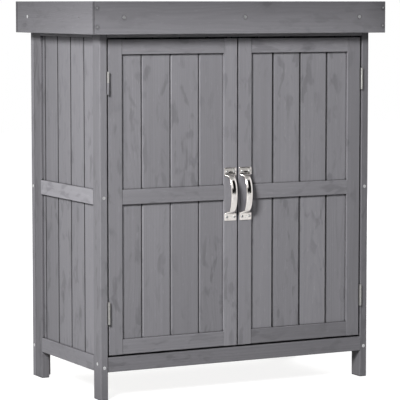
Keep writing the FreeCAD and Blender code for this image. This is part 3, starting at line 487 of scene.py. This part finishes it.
def metal(name, colour, rough, grime, scratch, mottle=0.0, glazed=None):
    """A plated metal: fine scratches, breath marks and dulled patches.

    glazed maps axes to (place, reach): metal inside all of them has the wood's glaze over it.
    """
    material, graph = material_graph(name)
    place, axis = piece_axes(graph)
    speck = graph.noise(place, *SPECKS)
    hair = graph.stretched_noise(axis.values(), HAIRS)
    crystal = graph.channels(graph.cells(place, SPANGLES)["Color"])[0]
    dull = graph.multiply(graph.ramp(graph.noise(place, *DULL_PATCHES), *DULL_EDGE), grime)
    shade = graph.swing(crystal, mottle, graph.times_plus(dull, DULL_SHADE, 1.0))
    roughness = graph.swing(speck, SPECK_ROUGHNESS * scratch,
                            graph.times_plus(dull, DULL_ROUGHNESS, rough))
    relief = graph.times_plus(hair, scratch, graph.multiply(speck, SPECK_RELIEF))
    tint = graph.shaded(colour, shade)
    metallic = 1.0
    if glazed:
        covered = 1.0
        for letter, (at, reach) in glazed.items():
            inside = graph.math("COMPARE", axis[letter], at, reach)
            covered = graph.multiply(inside, covered)
        tint = graph.mix(covered, tint, GLAZE_ON_METAL)
        metallic = graph.subtract(1.0, covered)
    graph.finish(graph.node("BsdfPrincipled", {
        "Base Color": tint,
        "Metallic": metallic,
        "Roughness": roughness,
        "Normal": graph.bump(relief, *METAL_BUMP),
    }))
    return material


def plastic(name, colour):
    """A moulded plastic with a fine matt texture."""
    material, graph = material_graph(name)
    place = piece_axes(graph)[0]
    cloud = graph.noise(place, *PLASTIC_CLOUD)
    graph.finish(graph.node("BsdfPrincipled", {
        "Base Color": graph.shaded(colour, graph.swing(cloud, PLASTIC_SHADE, 1.0)),
        "Roughness": graph.swing(cloud, PLASTIC_ROUGH_SWING, PLASTIC_ROUGHNESS),
        "Normal": graph.bump(graph.noise(place, PLASTIC_GRAIN), *PLASTIC_BUMP),
    }))
    return material


def slate_felt(name):
    """Bitumen felt under a coat of crushed slate, worn off in small spots."""
    material, graph = material_graph(name)
    place = piece_axes(graph)[0]
    chips = graph.cells(place, SLATE_CHIPS)
    tone = graph.channels(chips["Color"])[0]
    dust = graph.ramp(graph.noise(place, *DUST_PATCHES), *DUST_EDGE)
    fine = graph.noise(place, FELT_GRAIN)
    spots = graph.times_plus(fine, BALD_FINE, graph.noise(place, *BALD_SPOTS))
    bald = graph.ramp(spots, *BALD_EDGE)
    slate = graph.mix(dust, graph.mix(tone, SLATE_DARK, SLATE_PALE), FELT_DUST)
    height = graph.times_plus(bald, BALD_DEPTH, graph.multiply(chips["Distance"], -1.0))
    graph.finish(graph.node("BsdfPrincipled", {
        "Base Color": graph.mix(bald, slate, BITUMEN),
        "Roughness": graph.times_plus(bald, BALD_ROUGHNESS, FELT_ROUGHNESS),
        "Normal": graph.bump(height, *FELT_BUMP),
    }))
    return material


# What each node is made of

RAW = {"light": (0.60, 0.455, 0.290, 1.0), "dark": (0.44, 0.285, 0.150, 1.0),
       "sawn": 0.5, "rings": 1.6, "blots": 0.4}

SKIRT_LOW, SKIRT_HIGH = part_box("lid_front_board")
SKIRT_MIDDLE = (SKIRT_LOW.z + SKIRT_HIGH.z) / 2
NAIL_INSET = 0.006
NAIL_RISE = 0.0205
SCREW_RISE = 0.001
SCREW_X = 0.300


def grey(along, through, **options):
    return {"along": along, "through": through, **GREY, **options}


def raw(along, through, **options):
    return {"along": along, "through": through, **RAW, **options}


def skirt_fade(at_low, at_high):
    return "Z", SKIRT_LOW.z, SKIRT_HIGH.z, at_low, at_high


def skirt_heads():
    """Places of the three screws and four nails in the front of the skirt."""
    corner = SKIRT_HIGH.x - NAIL_INSET
    nails = [(side * corner, SKIRT_MIDDLE + up * NAIL_RISE) for side in (-1, 1) for up in (-1, 1)]
    return nails + [(at, SKIRT_MIDDLE + SCREW_RISE) for at in (-SCREW_X, 0.0, SCREW_X)]


# Where the seams between boards lie: a seam's place, often from the width of the first board,
# and the step to the next.
MID_RAIL = sum(corner.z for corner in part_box("left_side_mid_rail")) / 2
SIDE_LOW, SIDE_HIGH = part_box("left_side_boards")
SIDE_PITCH = 0.0717
SIDE_END_BOARD = 0.022
FLOOR_LEFT = SIDE_HIGH.x
FLOOR_COUNT = 9
FLOOR_PITCH = -2 * FLOOR_LEFT / FLOOR_COUNT
SHELF_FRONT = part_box("shelf_boards")[0].y
SHELF_COUNT = 5
SHELF_PITCH = (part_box("back_boards")[0].y - SHELF_FRONT) / SHELF_COUNT
LID_FRONT = SKIRT_HIGH.y
LID_COUNT = 6
LID_PITCH = -2 * LID_FRONT / LID_COUNT
DOOR_PITCH = 0.0713
LEFT_DOOR_FIRST = 0.0584
RIGHT_DOOR_FIRST = 0.0662
LEFT_DOOR_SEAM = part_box("left_door_boards")[0].x + LEFT_DOOR_FIRST
RIGHT_DOOR_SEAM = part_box("right_door_boards")[0].x + RIGHT_DOOR_FIRST

# Where a piece grows darker or lighter along an axis, some of it painted light and shade.
FOOT_FADE = ("Z", 0.02, 0.12, 0.78, 1.0)
# Painted light: the left side's boards grow darker towards the rear, as the lamp's light falls off.
REAR_PAINTED_FALLOFF = ("Y", -0.16, 0.17, 1.14, 0.86)
# Painted shadow: the top of the left side is darker under the lid's overhang.
UNDER_SKIRT_PAINTED_SHADOW = ("Z", 0.781, 0.800, 1.0, 0.75)
# Painted light: the left door's boards grow lighter towards the top, as from the lamp above.
DOOR_PAINTED_LIGHT = ("Z", 0.13, 0.76, 0.96, 1.05)
SKIRT_LEFT_FADE = ("X", SKIRT_LOW.x, 0.0, 0.93, 1.0)
# Painted shade: the skirt's front grows darker towards its right end, where the light falls off.
SKIRT_RIGHT_PAINTED_FALLOFF = ("X", SKIRT_HIGH.x - 0.06, SKIRT_HIGH.x, 1.0, 0.80)
# Painted light: the skirt's left side grows darker towards the rear, as the lamp's light falls off.
SKIRT_SIDE_PAINTED_FALLOFF = ("Y", -0.20, 0.20, 1.05, 0.86)

WOODS = {
    "front_left_post": grey("Z", "X", tone=0.90, fades=[FOOT_FADE]),
    # The right front post's low tone is partly painted shade, where the light falls off at the
    # right.
    "front_right_post": grey("Z", "X", tone=0.73),
    "rear_left_post": grey("Z", "X", tone=0.75),
    "rear_right_post": grey("Z", "X"),
    "left_side_top_rail": grey("Y", "X"),
    "left_side_mid_rail": grey("Y", "X", tone=1.40),
    "left_side_bottom_rail": grey("Y", "X"),
    "right_side_top_rail": grey("Y", "X"),
    "right_side_mid_rail": grey("Y", "X"),
    "right_side_bottom_rail": grey("Y", "X"),
    "left_side_boards": grey(
        "Z", "X", boards=("Y", SIDE_HIGH.y - SIDE_END_BOARD, SIDE_PITCH, MID_RAIL), groove=0.08,
        fades=[REAR_PAINTED_FALLOFF, UNDER_SKIRT_PAINTED_SHADOW]),
    "right_side_boards": grey(
        "Z", "X", boards=("Y", SIDE_LOW.y + SIDE_END_BOARD, SIDE_PITCH, MID_RAIL), groove=0.08),
    "front_top_rail": grey("X", "Y"),
    "front_bottom_rail": grey("X", "Y", tone=0.80),
    "back_left_stile": grey("Z", "Y"),
    "back_right_stile": grey("Z", "Y"),
    "back_top_rail": grey("X", "Y"),
    "back_mid_rail": grey("X", "Y"),
    "back_bottom_rail": grey("X", "Y"),
    "back_boards": grey("Z", "Y", boards=("X", SIDE_PITCH / 2, SIDE_PITCH, MID_RAIL), groove=0.4),
    "floor_boards": raw("Y", "Z", boards=("X", FLOOR_LEFT, FLOOR_PITCH, None)),
    "inner_battens": raw("X", "Z"),
    "shelf_boards": raw("X", "Z", boards=("Y", SHELF_FRONT, SHELF_PITCH, None)),
    "left_door_hinge_stile": grey("Z", "Y"),
    "left_door_lock_stile": grey("Z", "Y", tone=1.20),
    "left_door_top_rail": grey("X", "Y", tone=1.03),
    "left_door_mid_rail": grey("X", "Y", tone=0.94),
    "left_door_bottom_rail": grey("X", "Y", tone=0.96),
    "left_door_boards": grey(
        "Z", "Y", boards=("X", LEFT_DOOR_SEAM, DOOR_PITCH, MID_RAIL), fades=[DOOR_PAINTED_LIGHT]),
    "right_door_hinge_stile": grey("Z", "Y", tone=0.91),
    "right_door_lock_stile": grey("Z", "Y", tone=1.06),
    "right_door_top_rail": grey("X", "Y", tone=1.16),
    "right_door_mid_rail": grey("X", "Y", tone=1.02),
    "right_door_bottom_rail": grey("X", "Y", tone=0.85),
    "right_door_boards": grey(
        "Z", "Y", boards=("X", RIGHT_DOOR_SEAM, DOOR_PITCH, MID_RAIL), tone=1.11, groove=0.3),
    "lid_front_board": grey(
        "X", "Y", blots=0.5, halos=("XZ", skirt_heads()),
        fades=[skirt_fade(0.99, 0.60), SKIRT_LEFT_FADE, SKIRT_RIGHT_PAINTED_FALLOFF]),
    "lid_rear_board": grey("X", "Y", blots=0.5, fades=[skirt_fade(1.00, 0.70)]),
    "lid_left_board": grey("Y", "X", blots=0.5, fades=[skirt_fade(0.97, 0.68), SKIRT_SIDE_PAINTED_FALLOFF]),
    "lid_right_board": grey("Y", "X", blots=0.5, fades=[skirt_fade(0.97, 0.68)]),
    "lid_battens": raw("X", "Z"),
    "lid_top_boards": raw("X", "Z", boards=("Y", LID_FRONT, LID_PITCH, None)),
}

ZINC_COLOUR = (0.42, 0.415, 0.40, 1.0)
NICKEL_COLOUR = (0.80, 0.765, 0.735, 1.0)
STEEL_COLOUR = (0.42, 0.42, 0.42, 1.0)
GALVANISED_COLOUR = (0.50, 0.51, 0.53, 1.0)
PLASTIC_COLOUR = (0.022, 0.022, 0.024, 1.0)
# The lower half of the left door's upper knuckle, and the front screw in the skirt's left side.
GLAZED_KNUCKLE = {"X": (-0.325, 0.03), "Y": (-0.19, 0.03), "Z": (0.689, 0.0135)}
GLAZED_SCREW = {"X": (SKIRT_LOW.x, 0.02), "Y": (-0.14, 0.06), "Z": (0.845, 0.01)}

BRIGHT_ZINC = {"colour": (0.78, 0.78, 0.79, 1.0), "rough": 0.34, "grime": 0.30, "scratch": 0.6,
               "mottle": 0.06}

zinc = metal("zinc_plate", ZINC_COLOUR, rough=0.42, grime=0.55, scratch=0.8, mottle=0.16,
             glazed=GLAZED_KNUCKLE)
bright_zinc = metal("bright_zinc", **BRIGHT_ZINC)
lid_zinc = metal("lid_screw_zinc", glazed=GLAZED_SCREW, **BRIGHT_ZINC)
nickel = metal("nickel_plate", NICKEL_COLOUR, rough=0.09, grime=0.24, scratch=0.25)
screw_steel = metal("screw_steel", STEEL_COLOUR, rough=0.30, grime=0.30, scratch=0.5)
galvanised = metal("galvanised", GALVANISED_COLOUR, rough=0.42, grime=0.6, scratch=0.8, mottle=0.18)
black_plastic = plastic("moulded_plastic", PLASTIC_COLOUR)
felt_material = slate_felt("slate_felt")

HARDWARE = {
    "frame_screws": bright_zinc,
    "lid_screws": lid_zinc,
    "fitting_screws": bright_zinc,
    "post_hinge_leaves": zinc,
    "left_door_hinge_leaves": zinc,
    "right_door_hinge_leaves": zinc,
    "door_hinge_pins": zinc,
    "back_hinge_leaves": zinc,
    "lid_hinge_leaves": zinc,
    "lid_hinge_pins": zinc,
    "catch_magnets": zinc,
    "left_door_strike_plate": zinc,
    "right_door_strike_plate": zinc,
    "left_door_screws": screw_steel,
    "right_door_screws": screw_steel,
    "magnetic_catches": black_plastic,
}


def dress(node, material):
    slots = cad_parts[node].data.materials
    if len(slots) == 0:
        slots.append(material)
    for index in range(len(slots)):
        slots[index] = material


for seed, (node, options) in enumerate(sorted(WOODS.items()), start=1):
    dress(node, wood(node, seed=seed, **options))
for node, material in HARDWARE.items():
    dress(node, material)


# Meshes


def finished(name, mesh_data, material, body):
    mesh = bpy.data.meshes.new(name)
    mesh_data.to_mesh(mesh)
    mesh_data.free()
    mesh.materials.append(material)
    mesh.shade_smooth()
    piece = bpy.data.objects.new(name, mesh)
    bpy.context.scene.collection.objects.link(piece)
    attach(piece, body)
    return piece


def close_sweep(mesh_data, loops):
    """Skins a list of equal closed loops of vertices and caps both ends with fans."""
    for first, second in zip(loops, loops[1:]):
        count = len(first)
        for k in range(count):
            after = (k + 1) % count
            mesh_data.faces.new((first[k], first[after], second[after], second[k]))
    for loop in (loops[0], loops[-1]):
        middle = mesh_data.verts.new(sum((vertex.co for vertex in loop), Vector()) / len(loop))
        for k in range(len(loop)):
            mesh_data.faces.new((loop[k], loop[(k + 1) % len(loop)], middle))
    bmesh.ops.recalc_face_normals(mesh_data, faces=mesh_data.faces[:])


def even_path(points, step, passes):
    """The same path with equal steps, its corners eased."""
    lengths = [0.0]
    for first, second in zip(points, points[1:]):
        lengths.append(lengths[-1] + (Vector(second) - Vector(first)).length)
    count = int(lengths[-1] / step)
    spaced = []
    index = 0
    for k in range(count + 1):
        at = lengths[-1] * k / count
        while index < len(points) - 2 and lengths[index + 1] < at:
            index += 1
        share = (at - lengths[index]) / (lengths[index + 1] - lengths[index])
        spaced.append(Vector(points[index]).lerp(Vector(points[index + 1]), min(1.0, share)))
    for _ in range(passes):
        eased = [point.copy() for point in spaced]
        for k in range(1, len(spaced) - 1):
            eased[k] = spaced[k - 1] * 0.25 + spaced[k] * 0.5 + spaced[k + 1] * 0.25
        spaced = eased
    return spaced


def smoothstep(value, low, high):
    share = min(1.0, max(0.0, (value - low) / (high - low)))
    return share * share * (3.0 - 2.0 * share)


# Handles

DOOR_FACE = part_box("right_door_lock_stile")[0].y
HANDLE_LOW, HANDLE_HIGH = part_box("right_door_handle")
HANDLE_CENTRE = (HANDLE_LOW + HANDLE_HIGH) / 2

# The foot: half of the handle's length, width and corner, and the ridge that runs out over it.
FOOT_OUTER = (HANDLE_HIGH.z - HANDLE_LOW.z) / 2
FOOT_HALF_WIDTH = (HANDLE_HIGH.x - HANDLE_LOW.x) / 2
FOOT_THICK = 0.0020
FOOT_CORNER = 0.0020
FOOT_DOME = 0.0003
FOOT_CROWN = 0.0004
FOOT_CROWN_EDGE = (0.0095, 0.0115)
FOOT_RIDGE = 0.0046
FOOT_LIFT = (0.0006, 0.0035)
END_BAND = 0.0012
END_DROP = 0.45

# The neck, where the strap turns away from the door and narrows.
NECK_Z = 0.0412
NECK_BEND = 0.0045
NECK_TURN = math.radians(75.0)
NECK_STEPS = 8
NECK_BLEND = (NECK_Z - 0.0015, NECK_Z + 0.0035)
FLARE = (0.0365, NECK_Z + 0.003)
FLARE_POWER = 1.6

# The bow, half of a rounded arch that stands out from the door.
BOW_RISE = 0.0192
BOW_HALF_WIDTH = 0.0081
BOW_THICK = 0.0026
BOW_CROWN = 0.0016
BOW_HOLLOW = 0.0007
BOW_OUT_POWER = 1.8
BOW_UP_POWER = 2.4
BOW_STEPS = 40
RIDGE_SHARE = 0.95

# The strap's section and the mesh along it.
RIM_SHARE = 0.22
RIM_POWER = 6
SECTION_STEPS = 26
PATH_STEP = 0.0007
PATH_PASSES = 5


def bow_path():
    """Half of the handle's back face, from the upper foot's end to the middle, as (out, up)."""
    points = [(0.0, FOOT_OUTER), (0.0, NECK_Z + NECK_BEND)]
    for k in range(1, NECK_STEPS + 1):
        turn = NECK_TURN * k / NECK_STEPS
        points.append((NECK_BEND * (1 - math.cos(turn)), NECK_Z + NECK_BEND * (1 - math.sin(turn))))
    start_out, start_up = points[-1]
    half = start_up / (1 - (start_out / BOW_RISE) ** BOW_OUT_POWER) ** (1 / BOW_UP_POWER)
    for k in range(1, BOW_STEPS + 1):
        out = start_out + (BOW_RISE - start_out) * math.sin(math.pi / 2 * k / BOW_STEPS)
        left = max(0.0, 1 - (out / BOW_RISE) ** BOW_OUT_POWER)
        points.append((out, half * left ** (1 / BOW_UP_POWER)))
    return points


def strap_section(point):
    """The strap's outline across its run at a point of the path, as (sideways, outward)."""
    height = abs(point.y)
    near_end = FOOT_OUTER - height
    foot = smoothstep(height, *NECK_BLEND) * (1.0 - smoothstep(point.x, *FOOT_LIFT))
    flare = smoothstep(height, *FLARE) ** FLARE_POWER
    half = BOW_HALF_WIDTH + (FOOT_HALF_WIDTH - BOW_HALF_WIDTH) * flare
    if near_end < FOOT_CORNER:
        inward = max(0.0, FOOT_CORNER ** 2 - (FOOT_CORNER - near_end) ** 2)
        half -= FOOT_CORNER - math.sqrt(inward)
    end_drop = END_DROP * smoothstep(END_BAND - near_end, 0.0, END_BAND)
    thick = (FOOT_THICK * foot + BOW_THICK * (1.0 - foot)) * (1.0 - end_drop)
    ridge = FOOT_RIDGE + (BOW_HALF_WIDTH * RIDGE_SHARE - FOOT_RIDGE) * (1.0 - foot)
    crown = BOW_CROWN * (1.0 - foot) + FOOT_CROWN * foot * smoothstep(near_end, *FOOT_CROWN_EDGE)
    hollow = BOW_HOLLOW * (1.0 - foot)
    shares = [-math.cos(math.pi * j / SECTION_STEPS) for j in range(SECTION_STEPS + 1)]
    section = []
    for across in shares:
        offset = half * across
        rim = RIM_SHARE + (1.0 - RIM_SHARE) * (1.0 - abs(across) ** RIM_POWER) ** 0.5
        round_off = 1.0 - across ** 2
        dome = max(0.0, 1.0 - (offset / ridge) ** 2 if foot > 0.5 else round_off)
        section.append((offset, thick * rim + crown * dome + FOOT_DOME * foot * round_off))
    for across in reversed(shares[1:-1]):
        section.append((half * across, hollow * (1.0 - across ** 2)))
    return section


def make_handle(name, side, body, node):
    """A pressed bow handle: two feet and a domed strap whose ridge runs out over the feet."""
    mesh_data = bmesh.new()
    upper = bow_path()
    points = [(out, up, 0.0) for out, up in upper]
    points += [(out, -up, 0.0) for out, up in reversed(upper[:-1])]
    path = even_path(points, PATH_STEP, PATH_PASSES)
    loops = []
    for k, point in enumerate(path):
        heading = (path[min(len(path) - 1, k + 1)] - path[max(0, k - 1)]).normalized()
        outward = Vector((-heading.y, heading.x, 0.0))
        loop = []
        for offset, lift in strap_section(point):
            place = point + outward * lift
            spot = (side * HANDLE_CENTRE.x + offset, DOOR_FACE - place.x, HANDLE_CENTRE.z + place.y)
            loop.append(mesh_data.verts.new(spot))
        loops.append(loop)
    close_sweep(mesh_data, loops)
    piece = finished(name, mesh_data, nickel, body)
    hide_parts(node)


make_handle("left_bow_handle", -1, "left_door", "left_door_handle")
make_handle("right_bow_handle", 1, "right_door", "right_door_handle")


# Roofing felt and its nails

FELT_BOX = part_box("lid_felt")
FELT_X = FELT_BOX[1].x
FELT_Y = FELT_BOX[1].y
FELT_LOW = FELT_BOX[0].z
FELT_HIGH = FELT_LOW + 0.0021
FELT_COLUMNS = 170
FELT_ROWS = 110
LAP_EDGE = -0.012
LAP_STEP = 0.0014
LAP_ROW_STEP = 0.0001

# How the felt's face departs from flat, in metres, and the waves per metre.
WAVE = 0.0005
WAVE_SCALE = (9.0, 13.0)
RIPPLE = 0.0002
RIPPLE_SCALE = (31.0, 24.0)
CURL = 0.0004
CURL_SCALE = 14.0
CURL_REACH = 0.012
CURL_IN_FRONT = 0.2
LAP_WANDER = 0.004
LAP_SCALE = 3.0
EDGE_DROOP = -0.0005
EDGE_REACH = 0.004

NAIL_EDGE = 0.011
NAIL_LAP = 0.014
NAILS_LONG = 9
NAILS_SHORT = 6
NAIL_SHIFT = 0.003
NAIL_TILT = 0.06
NAIL_SIDES = 20
NAIL_PROFILE = (
    (0.0046, -0.0008), (0.0048, 0.0001), (0.0045, 0.0006), (0.0030, 0.0009), (0.0012, 0.0010),
)


def noise_at(x, y, z):
    return noise.noise(Vector((x, y, z)))


def felt_height(x, y):
    """Height of the felt's face: waves, ripples, the lap that curls up, and edges nailed down."""
    wave = noise_at(x * WAVE_SCALE[0], y * WAVE_SCALE[1], 3.1) * WAVE
    ripple = noise_at(x * RIPPLE_SCALE[0], y * RIPPLE_SCALE[1], 8.7) * RIPPLE
    near_lap = math.exp(-((y - LAP_EDGE) / CURL_REACH) ** 2)
    curl = CURL * near_lap * (0.5 + noise_at(x * CURL_SCALE, 1.0, 5.0))
    lapped = y > LAP_EDGE + LAP_WANDER * noise_at(x * LAP_SCALE, 0.0, 2.0)
    step = LAP_STEP + curl if lapped else CURL_IN_FRONT * curl
    edge = min(FELT_X - abs(x), FELT_Y - abs(y))
    droop = EDGE_DROOP * (1.0 - smoothstep(edge, 0.0, EDGE_REACH))
    return FELT_HIGH + wave + ripple + step + droop


def make_felt():
    """The felt in one mesh, shaped as two strips, the rear one lapped over the front one."""
    mesh_data = bmesh.new()
    columns = [FELT_X * (2.0 * k / FELT_COLUMNS - 1.0) for k in range(FELT_COLUMNS + 1)]
    rows = [FELT_Y * (2.0 * k / FELT_ROWS - 1.0) for k in range(FELT_ROWS + 1)]
    rows += [LAP_EDGE + LAP_ROW_STEP * k for k in range(-30, 31, 3)]
    rows = sorted(set(round(row, 6) for row in rows))
    top = [[mesh_data.verts.new((x, y, felt_height(x, y))) for x in columns] for y in rows]
    low = [[mesh_data.verts.new((x, y, FELT_LOW)) for x in columns] for y in rows]
    last_row = len(rows) - 1
    last_column = len(columns) - 1
    for j in range(last_row):
        for k in range(last_column):
            mesh_data.faces.new((top[j][k], top[j][k + 1], top[j + 1][k + 1], top[j + 1][k]))
            mesh_data.faces.new((low[j][k], low[j + 1][k], low[j + 1][k + 1], low[j][k + 1]))
    for j in range(last_row):
        for k in (0, last_column):
            mesh_data.faces.new((top[j][k], top[j + 1][k], low[j + 1][k], low[j][k]))
    for k in range(last_column):
        for j in (0, last_row):
            mesh_data.faces.new((top[j][k], top[j][k + 1], low[j][k + 1], low[j][k]))
    bmesh.ops.recalc_face_normals(mesh_data, faces=mesh_data.faces[:])
    piece = finished("lid_felt_strips", mesh_data, felt_material, "lid")
    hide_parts("lid_felt")


def nail_spots():
    """Rows of nails along the felt's front, rear and lap, and along its two ends."""
    spots = []
    for k in range(NAILS_LONG + 1):
        x = (FELT_X - NAIL_EDGE) * (2.0 * k / NAILS_LONG - 1.0)
        spots += [(x, -FELT_Y + NAIL_EDGE), (x, FELT_Y - NAIL_EDGE), (x, LAP_EDGE + NAIL_LAP)]
    for k in range(1, NAILS_SHORT):
        y = (FELT_Y - NAIL_EDGE) * (2.0 * k / NAILS_SHORT - 1.0)
        spots += [(-FELT_X + NAIL_EDGE, y), (FELT_X - NAIL_EDGE, y)]
    return spots


def make_clouts():
    """Flat round nail heads, pressed a little into the felt and each a little out of line."""
    mesh_data = bmesh.new()
    for k, (x, y) in enumerate(nail_spots()):
        x += NAIL_SHIFT * noise_at(k * 1.7, 0.3, 0.0)
        y += NAIL_SHIFT * noise_at(0.3, k * 2.3, 1.0)
        centre = Vector((x, y, felt_height(x, y)))
        tilt = Matrix.Rotation(NAIL_TILT * noise_at(k * 0.9, 4.0, 2.0), 3, "X")
        rings = []
        for radius, lift in NAIL_PROFILE:
            ring = []
            for j in range(NAIL_SIDES):
                angle = math.tau * j / NAIL_SIDES
                rim = tilt @ Vector((radius * math.cos(angle), radius * math.sin(angle), lift))
                ring.append(mesh_data.verts.new(centre + rim))
            rings.append(ring)
        close_sweep(mesh_data, rings)
    finished("lid_clout_nails", mesh_data, galvanised, "lid")


make_felt()
make_clouts()


# Floor, dark cards and surroundings

FLOOR_REACH = 9.0
FLOOR_GREY = (0.38, 0.38, 0.38, 1.0)
# Glow of the floor by distance from the middle: (near, far, glow near, glow far).
FLOOR_IN_CAMERA = (1.0, 4.5, 0.88, 1.0)
FLOOR_IN_METAL = (1.5, 5.0, 0.60, 0.92)

CARD_GREY = (0.02, 0.02, 0.02, 1.0)
CARD_REACH = 6.4
CARD_FOOT = 0.06

AMBIENT = 0.05
# What metal sees of the surroundings by the height of the view: (low, high, light low, light high).
WALLS = (0.55, 0.92, 1.0, 0.35)


def plane(name, corners, material):
    mesh = bpy.data.meshes.new(name)
    mesh.from_pydata(corners, [], [tuple(range(len(corners)))])
    mesh.materials.append(material)
    piece = bpy.data.objects.new(name, mesh)
    bpy.context.scene.collection.objects.link(piece)
    return piece


def floor_material():
    """A pale floor, white to the camera and pale in the metal, that keeps the object's shadow."""
    material, graph = material_graph("studio_floor")
    axis = piece_axes(graph)[1]
    path = graph.node("LightPath").outputs
    radius = graph.length(axis["X"], axis["Y"])
    in_camera = graph.multiply(path["Is Camera Ray"], graph.ramp(radius, *FLOOR_IN_CAMERA))
    in_metal = graph.multiply(path["Is Glossy Ray"], graph.ramp(radius, *FLOOR_IN_METAL))
    lit = graph.node("BsdfDiffuse", {"Color": FLOOR_GREY})
    glow = graph.node("Emission", {"Color": WHITE, "Strength": graph.add(in_camera, in_metal)})
    graph.finish(graph.node("AddShader", {0: lit.outputs[0], 1: glow.outputs[0]}))
    return material


def card_material():
    material, graph = material_graph("black_card")
    graph.finish(graph.node("BsdfDiffuse", {"Color": CARD_GREY}))
    return material


def card(name, start, end, top, material):
    """A dark card that only metal reflects, between two bearings in degrees from the front."""
    spots = [(math.sin(math.radians(turn)) * CARD_REACH, -math.cos(math.radians(turn)) * CARD_REACH)
             for turn in (start, end)]
    corners = [(*spots[0], CARD_FOOT), (*spots[1], CARD_FOOT), (*spots[1], top), (*spots[0], top)]
    made = plane(name, corners, material)
    made.visible_camera = False
    made.visible_diffuse = False
    made.visible_shadow = False
    made.visible_transmission = False


floor_corners = [(x * FLOOR_REACH, y * FLOOR_REACH, 0.0)
                 for x, y in ((-1, -1), (1, -1), (1, 1), (-1, 1))]
plane("floor", floor_corners, floor_material())
dark = card_material()
card("low_card", start=-38.0, end=4.0, top=1.5, material=dark)
card("high_card", start=4.0, end=46.0, top=6.0, material=dark)

world = bpy.data.worlds.new("studio")
bpy.context.scene.world = world
world.use_nodes = True
sky = Graph(world.node_tree, "World")
sky_path = sky.node("LightPath").outputs
height = sky.separate(sky.node("TexCoord").outputs["Generated"])["Z"]
straight = sky.math("MAXIMUM", sky_path["Is Camera Ray"], sky_path["Is Transmission Ray"])
strength = sky.add(AMBIENT, sky.multiply(straight, 1.0 - AMBIENT))
in_metal = sky.multiply(sky_path["Is Glossy Ray"], sky.ramp(height, *WALLS))
strength = sky.add(strength, in_metal)
sky.finish(sky.node("Background", {"Color": WHITE, "Strength": strength}))


# Lamps and camera

AIM = (Vector(cad_box[0]) + Vector(cad_box[1])) / 2
# Where a camera fitted to the photo's edges stands.
CAMERA_PLACE = (-2.306574, -4.411776, 0.876039)
CAMERA_TURN = math.radians(27.610)
CAMERA_DROP = math.radians(5.279)
CAMERA_LENS = 191.79
CAMERA_SENSOR = 36.0
CAMERA_FAR = 60.0


def lamp(name, at, width, height, power):
    """A soft lamp aimed at the middle of the cabinet."""
    data = bpy.data.lights.new(name, "AREA")
    data.shape = "RECTANGLE"
    data.size = width
    data.size_y = height
    data.energy = power
    made = bpy.data.objects.new(name, data)
    made.location = at
    made.rotation_euler = (AIM - Vector(at)).to_track_quat("-Z", "Y").to_euler()
    made.visible_camera = False
    bpy.context.scene.collection.objects.link(made)


lamp("key", (-2.50, -2.22, 2.22), width=0.9, height=0.9, power=146.0)
lamp("left_fill", (-3.4, -0.3, 2.1), width=1.3, height=1.3, power=9.0)
lamp("back_fill", (2.7, 2.9, 2.3), width=2.2, height=2.0, power=140.0)

camera_data = bpy.data.cameras.new("camera")
camera_data.sensor_width = CAMERA_SENSOR
camera_data.lens = CAMERA_LENS
camera_data.clip_end = CAMERA_FAR
camera = bpy.data.objects.new("camera", camera_data)
camera.location = CAMERA_PLACE
forward = Vector((
    math.sin(CAMERA_TURN) * math.cos(CAMERA_DROP),
    math.cos(CAMERA_TURN) * math.cos(CAMERA_DROP),
    -math.sin(CAMERA_DROP),
))
camera.rotation_euler = forward.to_track_quat("-Z", "Y").to_euler()
bpy.context.scene.collection.objects.link(camera)
bpy.context.scene.camera = camera
bpy.context.scene.view_settings.view_transform = "Standard"
